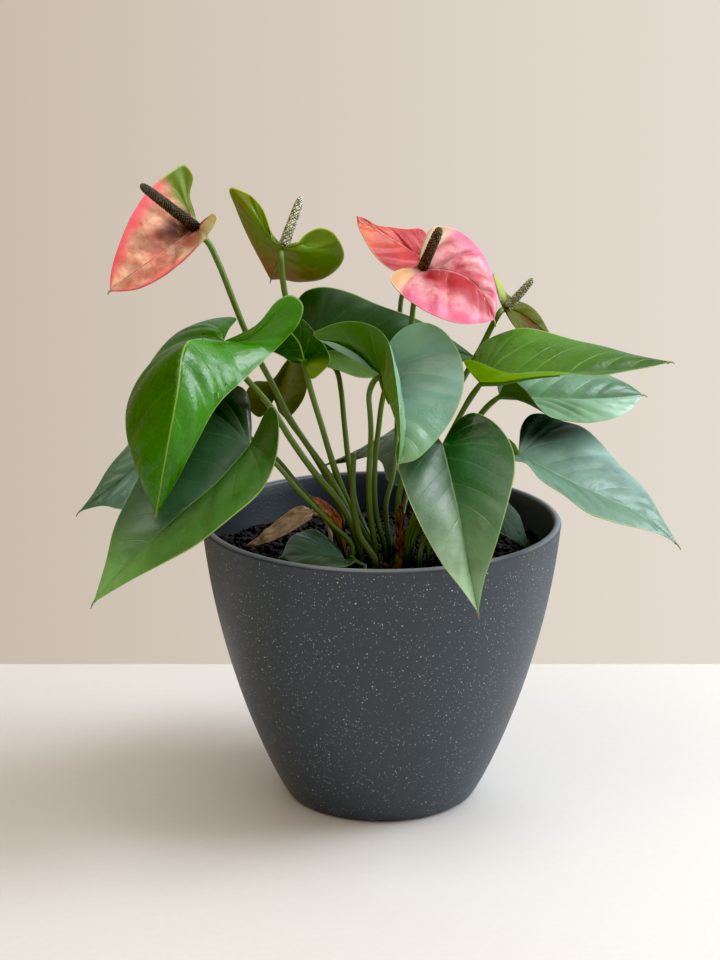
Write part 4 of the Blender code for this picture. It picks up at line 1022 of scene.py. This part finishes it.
def drop_meshes(name, sheet):
    """Round clear drops lying on the side of a leaf that the view sees."""
    ray = sheet.points - VIEW_FROM
    depth = ray @ VIEW_FORWARD
    across = VIEW_WIDTH / 2 + VIEW_LENS * ray[:, 0] / depth
    down = VIEW_HEIGHT / 2 - VIEW_LENS * (ray @ VIEW_UPWARD) / depth
    normals = point_normals(sheet.points, sheet.faces)
    profile = [(math.sin(t), math.cos(t)) for t in np.linspace(math.pi, 0.0, 12)]
    dome, faces = spin([(0.0, -1.0)] + profile[1:-1] + [(0.0, 1.0)], 20)
    meshes = []
    for x, y, width in DROPS.get(name, ()):
        off = (across - x) ** 2 + (down - y) ** 2 + (sheet.share > 0.9) * 1000
        nearest = int(np.argmin(off))
        normal = normals[nearest] * (1.0 if normals[nearest] @ ray[nearest] < 0 else -1.0)
        spot = sheet.points[nearest] + normal * BLADE * 0.55
        round_drop = dome * (width / 2, width / 2, width * 0.36)
        drop = mesh_of("drop", round_drop @ turned_to(normal).T * MM + spot * MM, faces)
        drop.materials.append(WATER)
        drop.shade_smooth()
        meshes.append(drop)
    return meshes


def drip_tip(name, spine, length):
    """The thin dry thread in which a blade ends."""
    ahead = spine[-1] - spine[-6]
    ahead /= np.linalg.norm(ahead)
    run = [spine[-1] + ahead * length * k + (0.0, 0.0, -0.6 * length * k * k)
           for k in (-0.6, 0, 0.4, 0.75, 1.0)]
    return stalk_mesh(name + "_drip", np.array(run), np.array((0.45, 0.5, 0.4, 0.28, 0.12)), DRIP_TIP)


def puffed(sheet, veins, height, steepness, fullness):
    """How far the blade stands up between its veins."""
    number = vein_number(sheet, veins)
    off_vein = np.abs(number - np.round(number)) * 2
    room = np.minimum(sheet.gap / veins / PUFF_ROOM, 1.0)
    ripple = np.sin(math.pi * off_vein / 2) ** steepness * (4 * sheet.share * (1 - sheet.share)) ** fullness
    return height * room * ripple


def build_leaf(name, plan):
    sheet = Sheet(plan, BLADE_ROWS, BLADE_COLUMNS)
    wave = np.sin(sheet.along * 17.0 + 4.0 * sheet.side + len(name)) * sheet.share ** 3
    wave = WAVE * wave * np.sin(math.pi * sheet.along)
    puff = puffed(sheet, LEAF_VEINS, plan["puffing"], 1.2, 0.7)
    sheet.lift((puff + wave) * sheet.taper * sheet.lobe)
    blade = thick_mesh(name + "_blade", sheet, BLADE, BLADE_EDGE, LEAF_VEINS)
    blade.materials.append(leaf_finish(name + "_finish", plan))

    radius = plan["stalk_width"] * SLIMMER / 2
    spine = sheet.points[:sheet.spine_count]
    normals = point_normals(sheet.points, sheet.faces)[:sheet.spine_count]
    last = max(2, int(RIB_SHARE * sheet.spine_count))
    deep = radius * RIB_WIDTH * np.linspace(1.0, 0.55, last)
    rib = (spine[:last] - normals[:last] * deep[:, None])[::3]
    route = stalk_run(plan, rib[0])
    thin = np.linspace(RIB_TIP * 0.6, RIB_WIDTH, len(rib) - 1)
    knee = KNEE * np.exp(-((np.arange(len(route)) * STALK_STEP - KNEE_AT) / KNEE_LENGTH) ** 2)
    radii = np.concatenate((thin, np.linspace(0.84, 1.0, len(route)) + knee)) * radius
    stalk = stalk_mesh(name + "_stalk", np.vstack((rib[:0:-1], route)), radii,
                       DARK_PETIOLE if name in DARK_STALKS else GREEN_PETIOLE)

    meshes = [blade, stalk, drip_tip(name, spine, DRIP_LENGTH)] + drop_meshes(name, sheet)
    leaf = joined(name + "_grown", meshes)
    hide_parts(name)
    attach(leaf, "root")


DARK_STALKS = ("leaf_young_bronze", "leaf_back_low", "leaf_far_left", "leaf_inner_left")

for leaf_name, leaf_plan in LEAVES.items():
    build_leaf(leaf_name, {**LEAF_USUAL, **leaf_plan})


# The blooms. A waxy heart-shaped spathe in pink, coral or olive, a spadix set at its notch and packed
# with tiny florets, and a round stem. They are ageing, so the colours run into green and bronze.
SPATHE = 0.9            # mm thick
SPATHE_EDGE = 0.45
SPATHE_VEINS = 6
STEM_GAP = 0.3          # mm between a spathe and its stem
STEM_SEAT = 0.6
SPADIX_LIFT = 1.7       # mm from the middle of the spathe to the foot of the spadix
CAD_ROWS = 12           # the rows and columns of a spathe in the plain solids
CAD_COLUMNS = 3
FLORET = 0.68           # mm, its radius at the foot of a spadix
FLORET_AREA = 1.55      # square mm of spadix that it takes up
CORE = 0.93             # share of a spadix's radius that is solid under the florets

# What a bloom has unless its own lines say otherwise. A pair is for its left and its right half.
BLOOM_USUAL = dict(
    puffing=(0.0, 0.0),
    spadix_seat=0.3,            # where on the first step of the midrib the spadix stands
    stem=3.1, drip=2.4,         # mm, the stem's width and the length of the dry tip
    hollow_shade=(0.1, 0.1),         # how dark the painted shade in the hollows between the veins is
    tinge=0.0,                  # how far the mottling shows on the back
    rim_from=0.62,              # where between midrib and margin the rim's colour comes in
    fold_shade=(0, 0, 0), fold_shade_reach=(0.1, 0.2, 0.3, 0.4), fold_shade_shares=(0.0, 0.0))    # painted shade in the fold inside

# The points are of the same kind as a leaf's.
BLOOMS = {
    "flower_1": dict(
        midrib=((197, 228, -22), (170, 248, -34), (140, 270, -44), (110, 291, -50)),
        left=((194, 212, -14), (190, 195, -8), (193, 176, -4), (184, 165, -4), (168, 174, -10),
              (150, 189, -18), (133, 213, -28), (120, 242, -38), (111, 272, -46)),
        right=((203, 222, -26), (212, 214, -32), (217, 219, -40), (207, 235, -47), (190, 254, -55),
               (165, 275, -60), (140, 288, -58), (123, 291, -54)),
        stalk=((206, 240, -19), (218, 262, -18), (233, 300, -17), (245, 330, -17), (261, 363, -18),
               (274, 387, -19), (288, 415, -20), (306, 443, -23), (329, 475, -27), (348, 512, -31)),
        root=(-12, -29), face=(-0.3, -1, 0.5), bulge=(-1, -3), left_bend=(181, 198, -8), puffing=(1.2, 0.9),
        spadix_end=(141, 185, -52), spadix_width=(5.8, 4.6), drip=1.6, slot="pink_spathe", gloss=0.42,
        shine=0.2, mottling=0.5, hollow_shade=(0.3, 0.2), lobe_reach=0.4, lobe_shares=(1.0, 0.9),
        fold_shade_reach=(0.2, 0.3, 0.5, 0.8), fold_shade_shares=(0.9, 0.4), ground=(240, 140, 122),
        blush=(252, 208, 172), mottle=(158, 94, 64), fold_shade=(58, 26, 28), rim=(246, 78, 104),
        lobe=(98, 118, 26), lobe_right=(216, 220, 156), edge=(236, 110, 104), lobe_edge=(170, 190, 88),
        back=(206, 120, 110), vein=(238, 178, 150), florets=(82, 70, 40), dark_flecks_and_gap_shade=(30, 24, 14),
        top=(84, 76, 46)),
    "flower_2": dict(
        midrib=((283, 247, -4), (279, 262, 12), (271, 279, 28)),
        left=((272, 241, -4), (269, 226, -2), (262, 208, 2), (250, 195, 7), (230, 188, 12), (236, 208, 18),
              (248, 236, 24), (261, 261, 28), (267, 272, 29)),
        right=((290, 247, -4), (297, 244, -4), (305, 235, -2), (319, 228, 0), (331, 231, 3), (340, 242, 8),
               (344, 256, 14), (338, 268, 20), (322, 279, 26), (306, 281, 30), (287, 278, 31)),
        stalk=((281, 256, -7), (282, 272, -5), (285, 294, -4), (292, 320, -3), (299, 345, -2),
               (306, 371, -2), (311, 391, -3), (322, 427, -6), (334, 468, -12), (347, 509, -17)),
        root=(-13, -17), face=(0, 1, 0.5), bulge=(-2, -3), left_bend=(260, 226, 1),
        right_bend=(308, 250, 4), spadix_end=(301, 197, 5), spadix_width=(5.6, 4.2), slot="olive_spathe",
        gloss=0.34, shine=0.3, mottling=0.75, tinge=0.9, lobe_reach=0.3, lobe_shares=(0.5, 0.5),
        ground=(72, 106, 4), blush=(112, 124, 14), mottle=(140, 72, 2), rim=(92, 126, 14),
        lobe=(84, 118, 10), lobe_right=(70, 108, 8), edge=(190, 214, 76), back=(100, 134, 8),
        vein=(104, 128, 34), florets=(222, 222, 190), dark_flecks_and_gap_shade=(100, 102, 72), top=(232, 234, 212)),
    "flower_3": dict(
        midrib=((421, 271, -30), (446, 271, -35), (469, 280, -39), (483, 296, -43), (494, 320, -48)),
        left=((422, 257, -22), (424, 240, -14), (434, 227, -8), (450, 228, -8), (466, 236, -12),
              (482, 253, -20), (492, 275, -30), (497, 297, -40), (496, 311, -46)),
        right=((412, 270, -32), (402, 269, -36), (392, 274, -42), (391, 281, -48), (400, 293, -54),
               (414, 304, -60), (431, 314, -64), (449, 321, -64), (466, 324, -61), (482, 323, -55)),
        stalk=((420, 280, -26), (414, 302, -22), (410, 330, -18), (400, 355, -16), (388, 380, -16),
               (382, 402, -16), (379, 425, -17), (375, 462, -20), (376, 513, -24)),
        root=(2, -27), face=(0.2, -1, 0.5), bulge=(2, 2), puffing=(1.8, 0.3), spadix_end=(440, 228, -44),
        spadix_width=(5.2, 4.8), stem=2.8, slot="pink_spathe", gloss=0.32, shine=0.35, mottling=0.1,
        hollow_shade=(0.6, 0.05), lobe_reach=0.34, lobe_shares=(0.9, 0.95), fold_shade_reach=(0.42, 0.5, 0.95, 1.02),
        fold_shade_shares=(0.15, 0.95), ground=(214, 98, 112), blush=(247, 180, 182), mottle=(156, 34, 44),
        fold_shade=(160, 14, 20), rim=(226, 104, 142), lobe=(206, 184, 150), lobe_right=(226, 176, 124),
        edge=(240, 128, 146), lobe_edge=(236, 214, 172), back=(224, 106, 112), vein=(252, 196, 200),
        florets=(104, 74, 46), dark_flecks_and_gap_shade=(44, 28, 16), top=(120, 100, 60)),
    "flower_4": dict(
        midrib=((503, 307, -2), (520, 314, 10), (536, 326, 20), (552, 341, 26)),
        left=((500, 300, -2), (496, 288, 2), (493, 274, 6), (499, 280, 10), (506, 293, 10), (516, 300, 12),
              (528, 305, 18), (539, 315, 25), (548, 331, 28)),
        right=((506, 311, -6), (509, 318, -8), (516, 328, -4), (526, 338, 6), (540, 345, 18)),
        stalk=((500, 312, -6), (493, 324, -4), (483, 344, 0), (474, 360, 2), (466, 374, 3), (452, 398, 1),
               (432, 432, -6), (411, 465, -13), (400, 490, -18), (398, 520, -21)),
        root=(10, -26), face=(0.3, -0.3, 1), bulge=(2, 2), puffing=(0.3, 0.3), spadix_end=(533, 279, -9),
        spadix_width=(4.4, 3.6), spadix_seat=1.0, slot="olive_spathe", gloss=0.45, shine=0.12, mottling=0.5,
        tinge=0.6, lobe_reach=0.36, lobe_shares=(1.0, 0.2), fold_shade_reach=(0.45, 0.7, 0.9, 1.1),
        fold_shade_shares=(0.0, 0.9), ground=(72, 84, 0), blush=(80, 82, 2), mottle=(84, 44, 4), fold_shade=(76, 34, 4),
        rim=(88, 96, 10), lobe=(158, 172, 84), lobe_right=(88, 94, 8), edge=(110, 96, 20),
        back=(84, 92, 10), vein=(110, 112, 36), florets=(216, 212, 180), dark_flecks_and_gap_shade=(124, 122, 92),
        top=(206, 204, 172)),
    "flower_5": dict(
        midrib=((427, 262, 14), (405, 248, 16), (385, 236, 12), (357, 216, 4)),
        left=((424, 248, 22), (427, 236, 26), (421, 229, 27), (406, 229, 22), (390, 227, 16),
              (376, 225, 10), (366, 219, 6)),
        right=((420, 268, 10), (412, 274, 6), (402, 271, 2), (392, 270, 0), (380, 261, -2), (371, 250, -2),
               (363, 236, 0), (358, 225, 2)),
        stalk=((427, 268, 6), (420, 276, 6), (408, 284, 18), (402, 296, 31), (400, 311, 39), (398, 340, 40),
               (396, 380, 34), (397, 420, 20), (396, 452, 5), (392, 480, -4), (386, 505, -11)),
        root=(4, -19), face=(0, 1, 0.3), bulge=(0, 0), spadix_end=(414, 242, 46), spadix_width=(5.0, 4.2),
        stem=2.7, drip=0, slot="coral_spathe", gloss=0.32, shine=0.25, mottling=0.4, tinge=0.8,
        lobe_reach=0.16, lobe_shares=(0.7, 0.3), ground=(200, 62, 66), blush=(186, 56, 54),
        mottle=(206, 104, 50), rim=(226, 100, 80), lobe=(222, 120, 76), lobe_right=(206, 76, 76),
        edge=(226, 140, 84), back=(168, 44, 50), vein=(236, 128, 126), florets=(120, 96, 62),
        dark_flecks_and_gap_shade=(56, 40, 26), top=(120, 96, 62)),
}

SPATHE_TONES = ("ground", "blush", "mottle", "rim", "lobe", "lobe_right", "edge", "back", "vein", "fold_shade")


def spathe_finish(name, plan):
    """Wax over the tones of an ageing bloom: ground and blush, rim, mottling, painted shade in its hollows
    and fold, lobes and veins.
    """
    wax = Finish(name, {"Specular IOR Level": plan["shine"], "Subsurface Weight": 0.25,
                        "Subsurface Scale": 0.0016, "Subsurface Radius": (1.0, 0.5, 0.4)})
    share, along, side, number, gap, rib, under = (wax.attribute(label) for label in SHEET_VALUES)
    off_vein = from_middle(wax, number + 0.5)
    vein = wax.ease(off_vein * gap, 0.9, 0.1) * wax.ease(share, 0.98, 0.7) * wax.ease(gap, 1.5, 4.0)
    midrib = wax.ease(rib, 0.9, 0.3)
    cloud = wax.noise(90.0, detail=6.0, roughness=0.65)
    patch = wax.noise(60.0, detail=5.0, roughness=0.65)
    freckle = wax.noise(420.0, detail=3.0)
    along_veins = wax.vector(number * 5.0, share * 2.2, side)
    streak = wax.noise(1.0, detail=4.0, roughness=0.6, where=along_veins)
    ground, blush, mottle, rim, lobe, lobe_right, edge, back, line, fold_shade = (
        paint(*plan[key]) for key in SPATHE_TONES)

    # the upper side: ground colour, pink rim, mottled patches, painted shade in the hollows between the veins
    # and in the fold
    body = wax.mix(wax.ease(cloud, 0.36, 0.64), ground, blush)
    body = wax.mix(wax.ease(share, plan["rim_from"], 0.95, 0.0, 0.85), body, rim)
    mottled = wax.ease(patch, 0.46, 0.6) * plan["mottling"] * wax.ease(share, 0.97, 0.7)
    body = wax.mix(mottled, body, mottle)
    middle = wax.ease(share, 0.02, 0.2) * wax.ease(share, 0.92, 0.6) * wax.ease(gap, 2.0, 6.0)
    # painted shade in the hollows between the veins
    painted_hollow_shade = wax.ease(off_vein, 0.34, 0.12) * middle * wax.blend(side, *plan["hollow_shade"])
    body = wax.mix(painted_hollow_shade * wax.ease(streak, 0.25, 0.55, 0.55, 1.0), body, mottle)
    # a dark pool of painted shade in the fold beside the spadix
    near, full, on, far = plan["fold_shade_reach"]
    fold_shaded = wax.ease(along, near, full) * wax.ease(along, far, on)
    fold_shaded = fold_shaded * wax.ease(share - wax.ease(along, 0.6, 0.9, 0.0, 0.3), 0.62, 0.25)
    fold_shaded = fold_shaded * wax.ease(streak, 0.22, 0.46) * wax.blend(side, *plan["fold_shade_shares"])
    body = wax.mix(fold_shaded, body, fold_shade)
    body = wax.mix(wax.ease(freckle, 0.5, 0.75, 0.0, 0.16), body, mottle)

    # the lobes, greener or paler than the rest, then the veins
    end_of_lobe = plan["lobe_reach"]
    on_lobe = wax.ease(along + cloud * 0.12, end_of_lobe + 0.12, end_of_lobe) * wax.ease(share, 0.0, 0.5)
    left_share, right_share = plan["lobe_shares"]
    body = wax.mix(on_lobe * left_share * (1.0 - side), body, lobe)
    body = wax.mix(on_lobe * right_share * side, body, lobe_right)
    body = wax.mix(vein * 0.08 + midrib * 0.3, body, line)
    edge = wax.mix(on_lobe, edge, paint(*plan.get("lobe_edge", plan["edge"])))

    # the back, with a net of fine veins
    below = wax.mix(wax.ease(patch, 0.42, 0.62), back, blush)
    aged = wax.ease(along, 0.5, 0.85) * wax.ease(patch, 0.3, 0.6, 0.5, 1.0) * plan["tinge"]
    below = wax.mix(aged, below, mottle)
    net = wax.cells(170.0, feature="DISTANCE_TO_EDGE")
    below = wax.mix(wax.ease(net, 0.07, 0.0, 0.0, 0.08) + vein * 0.2 + midrib * 0.8, below, line)
    body = wax.mix(wax.ease(under, 0.45, 0.55), body, below)

    wax.feed("Base Color", wax.mix(wax.ease(share, 0.965, 0.992) * 0.8, body, edge))
    wax.feed("Roughness", wax.ease(cloud, 0.25, 0.75, plan["gloss"] - 0.05, plan["gloss"] + 0.1))
    puff = wax.ease(off_vein, 0.0, 0.5) * wax.ease(gap, 2.0, 8.0)
    lift = cloud * 0.7 + freckle * 0.1 + puff * 0.6 - midrib * 0.6
    wax.relief(lift * (1.0 - under * 2.0), 0.0007)
    return wax.material


def floret_tree():
    """Florets wound round a spike that stands on the origin, each a small four-sided cushion."""
    nodes, given = new_tree("florets", ("Florets", "Int"), ("Length", "Float"), ("Foot radius", "Float"),
                            ("End radius", "Float"), ("Floret size", "Float"), ("Spadix finish", "Material"))
    line = nodes.node("GeometryNodeMeshLine", None, {"Count": given["Florets"]})
    index = nodes.node("GeometryNodeInputIndex")
    stray, bigness = (nodes.node("FunctionNodeRandomValue", {"data_type": "FLOAT"},
                                 {2: -1.0, 3: 1.0, "ID": index, "Seed": seed}, 1) for seed in (3, 8))
    share = (index + 0.5 + stray * 1.1) / given["Florets"]
    share = nodes.maths("MINIMUM", nodes.maths("MAXIMUM", share, 0.001), 0.999)
    angle = index * GOLDEN_ANGLE + bigness * 0.11
    cosine, sine = nodes.maths("COSINE", angle), nodes.maths("SINE", angle)
    straight = given["Foot radius"] + (given["End radius"] - given["Foot radius"]) * share
    radius = straight * nodes.maths("SQRT", 1.0 - nodes.maths("POWER", share, 14.0))
    spot = nodes.vector(radius * cosine, radius * sine, share * given["Length"])
    outward = nodes.vector(cosine, sine, nodes.maths("POWER", share, 10.0) * 2.0)
    on_points = {"data_type": "FLOAT", "domain": "POINT"}
    line = nodes.node("GeometryNodeStoreNamedAttribute", on_points,
                      {"Geometry": line, "Name": "up", "Value": share})
    line = nodes.node("GeometryNodeSetPosition", None, {"Geometry": line, "Position": spot})
    turn = nodes.node("FunctionNodeAlignRotationToVector", {"axis": "Z"}, {"Vector": outward})
    cushion = nodes.node("GeometryNodeMeshUVSphere", None, {"Segments": 8, "Rings": 5, "Radius": 1.0})
    crown = nodes.part(nodes.node("GeometryNodeInputPosition"), 2)
    cushion = nodes.node("GeometryNodeStoreNamedAttribute", on_points,
                         {"Geometry": cushion, "Name": "crown", "Value": crown})
    size = given["Floret size"] * (1.0 - share * 0.25) * (1.0 + stray * 0.16)
    packed = nodes.node("GeometryNodeInstanceOnPoints", None, {
        "Points": line, "Instance": cushion, "Rotation": turn,
        "Scale": nodes.vector(size, size, size * 0.62)})
    both = nodes.tree.nodes.new("GeometryNodeJoinGeometry")
    for made in (packed, given["Geometry"]):
        nodes.fill(both.inputs[0], made)
    return closed_tree(nodes, Value(nodes, both.outputs[0]), given["Spadix finish"])


GOLDEN_ANGLE = 2.39996
FLORET_TREE = floret_tree()


def spadix_finish(name, plan):
    spike = Finish(name, {"Specular IOR Level": 0.35})
    crown = spike.attribute("crown")
    up = spike.attribute("up")
    fleck = spike.noise(480.0, detail=4.0, roughness=0.7)
    dark_flecks_and_gap_shade, florets, top = (paint(*plan[key]) for key in ("dark_flecks_and_gap_shade", "florets", "top"))
    pale = spike.mix(spike.ease(up + fleck * 0.4, 0.75, 1.15), florets, top)
    # each floret is painted darker towards its foot, a painted shade where the florets meet; the same dark
    # colour also makes random flecks
    body = spike.mix(spike.ease(crown, -0.1, 0.6), dark_flecks_and_gap_shade, pale)
    body = spike.mix(spike.ease(fleck + up * 0.1, 0.6, 0.48, 0.0, 0.85), body, dark_flecks_and_gap_shade)
    spike.feed("Base Color", body)
    spike.feed("Roughness", spike.ease(fleck, 0.3, 0.7, 0.5, 0.7))
    spike.relief(fleck, 0.0002)
    return spike.material


def spadix_mesh(name, plan, foot, end):
    """A solid core and its florets, made upright on the origin and then laid from foot to end."""
    axis = end - foot
    length = np.linalg.norm(axis)
    wide, narrow = (w / 2 for w in plan["spadix_width"])
    profile = [(0.0, 0.0)]
    for share in np.linspace(0.0, 0.985, 24):
        dome = math.sqrt(1 - share ** 14)
        profile.append(((wide + (narrow - wide) * share) * dome * CORE, share * length))
    points, faces = spin(profile + [(0.0, length)], 20)
    core = mesh_of("core", points * MM, faces)
    store(core, "crown", np.zeros(len(points)))
    area = length * math.pi * (wide + narrow)
    mesh = grown(name + "_spadix", core, FLORET_TREE, {
        "Florets": int(area / FLORET_AREA), "Length": length * MM, "Foot radius": wide * CORE * MM,
        "End radius": narrow * CORE * MM, "Floret size": FLORET * MM,
        "Spadix finish": spadix_finish(name + "_florets", plan)})
    mesh.shade_smooth()
    places = np.empty(len(mesh.vertices) * 3)
    mesh.vertices.foreach_get("co", places)
    places = places.reshape(-1, 3) @ turned_to(axis / length).T + foot * MM
    mesh.vertices.foreach_set("co", places.ravel())
    mesh.update()
    return mesh


def build_bloom(name, plan):
    sheet = Sheet(plan, BLADE_ROWS, BLADE_COLUMNS)
    height = np.where(sheet.side < 0.5, *plan["puffing"])
    sheet.lift(puffed(sheet, SPATHE_VEINS, height, 1.3, 0.6) * sheet.taper * sheet.lobe)
    meshes = [thick_mesh(name + "_spathe", sheet, SPATHE, SPATHE_EDGE, SPATHE_VEINS)]
    meshes[0].materials.append(spathe_finish(name + "_wax", plan))
    if plan["drip"]:
        meshes.append(drip_tip(name, sheet.points[:sheet.spine_count], plan["drip"]))
    spathe = joined(name + "_spathe_grown", meshes)
    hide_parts(name + "_spathe")

    # the stem and the spadix are seated on the notch as it lies in the plain solids
    plain = Sheet(plan, CAD_ROWS, CAD_COLUMNS)
    normals = point_normals(plain.points, plain.faces)
    radius = plan["stem"] / 2
    seat = plain.points[1] - normals[1] * (SPATHE / 2 + STEM_GAP + STEM_SEAT * radius)
    route = stalk_run(plan, seat)
    stem = new_object(name + "_stem_grown", stalk_mesh(name + "_stem", route, np.full(len(route), radius),
                                                       GREEN_PETIOLE))
    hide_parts(name + "_stem")

    first_step = plain.points[1] - plain.points[0]
    foot = plain.points[0] + first_step * plan["spadix_seat"] + normals[0] * SPADIX_LIFT
    spadix = new_object(name + "_spadix_grown", spadix_mesh(name, plan, foot, seen(plan["spadix_end"])))
    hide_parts(name + "_spadix")
    for piece in (spathe, stem, spadix):
        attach(piece, "root")


for bloom_name, bloom_plan in BLOOMS.items():
    build_bloom(bloom_name, {**BLOOM_USUAL, **bloom_plan})


# Dried and cut pieces at the foot of the plant: a dead leaf, two papery sheaths that once wrapped
# young stalks, and the stub of a petiole that was cut off. The dry ones are crumpled and ribbed.
HUSK_ROWS = 49
HUSK_COLUMNS = 10
HUSK_VEINS = 8
STUB_WIDTH = 4.6
REMNANT_USUAL = dict(face=(0, -0.6, 1), bulge=(1, 1), stalk_width=2.6)
REMNANTS = {
    "dead_leaf": dict(
        midrib=((314, 513, -6), (296, 521, -6), (272, 535, -4), (247, 547, -2)),
        left=((309, 508, 2), (297, 507, 4), (283, 516, 4), (265, 531, 3)),
        right=((309, 520, -12), (300, 526, -14), (285, 535, -13), (266, 543, -9)),
        stalk=((322, 516, -12), (330, 530, -22)),
        root=(-27, -30), bulge=(2, 1), upper=(206, 180, 154), deep=(156, 124, 98), vein=(222, 202, 178)),
    "dry_sheath_1": dict(
        midrib=((341, 530, -30), (328, 512, -30), (317, 502, -28), (306, 496, -26)),
        left=((342, 519, -26), (330, 505, -24), (318, 498, -23)),
        right=((334, 530, -33), (322, 514, -33), (313, 503, -31)),
        stalk=((343, 540, -29), (344, 552, -29)),
        root=(-20, -28), upper=(184, 112, 70), deep=(118, 68, 40), vein=(206, 150, 110)),
    "dry_sheath_2": dict(
        midrib=((400, 558, -56), (400, 540, -55), (400, 520, -52), (401, 503, -48)),
        left=((405, 550, -55), (405, 532, -53), (404, 513, -49)),
        right=((396, 550, -56), (396, 532, -54), (397, 513, -50)),
        stalk=((400, 565, -56),),
        root=(7, -56), face=(0, -1, 0.3), upper=(84, 58, 38), deep=(44, 30, 20), vein=(110, 84, 54)),
}
STUB = dict(stalk=((354, 453, -38), (353, 480, -39), (354, 505, -40), (359, 535, -42)), root=(-4, -45))


def dry_finish(name, plan):
    husk = Finish(name, {"Specular IOR Level": 0.2, "Roughness": 0.8})
    cloud = husk.noise(140.0, detail=5.0, roughness=0.65)
    number = husk.attribute("vein_number")
    ridge = husk.ease(from_middle(husk, number * 1.5), 0.1, 0.4)
    body = husk.mix(husk.ease(cloud, 0.3, 0.7), paint(*plan["deep"]), paint(*plan["upper"]))
    body = husk.mix(ridge * 0.25, body, paint(*plan["vein"]))
    husk.feed("Base Color", body)
    husk.relief(cloud + ridge * 0.25, 0.0005)
    return husk.material


def build_remnant(name, plan):
    sheet = Sheet(plan, HUSK_ROWS, HUSK_COLUMNS)
    crumple = np.sin(sheet.along * 31.0 + sheet.share * 5.0) * 0.7
    crumple = crumple + np.sin(sheet.share * 9.0 + sheet.side * 2.0) * 0.5
    sheet.lift(crumple * np.sin(math.pi * sheet.share) * 1.2)
    husk = thick_mesh(name + "_husk", sheet, BLADE, BLADE_EDGE, HUSK_VEINS)
    finish = dry_finish(name + "_finish", plan)
    husk.materials.append(finish)
    radius = plan["stalk_width"] / 2
    normals = point_normals(sheet.points, sheet.faces)
    route = stalk_run(plan, sheet.points[0] - normals[0] * radius * RIB_WIDTH)
    stalk = stalk_mesh(name + "_stalk", route, np.linspace(0.8, 1.0, len(route)) * radius, finish)
    remnant = joined(name + "_grown", [husk, stalk])
    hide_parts(name)
    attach(remnant, "root")


def build_stub():
    route = smooth_curve(np.vstack((trace(STUB["stalk"]), root_run(STUB["root"]))), 30)
    radii = np.linspace(0.55, 1.0, len(route)) * STUB_WIDTH / 2
    stub = new_object("cut_stub_grown", stalk_mesh("cut_stub", route, radii, DARK_PETIOLE))
    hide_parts("cut_stub")
    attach(stub, "root")


for remnant_name, remnant_plan in REMNANTS.items():
    build_remnant(remnant_name, {**REMNANT_USUAL, **remnant_plan})
build_stub()
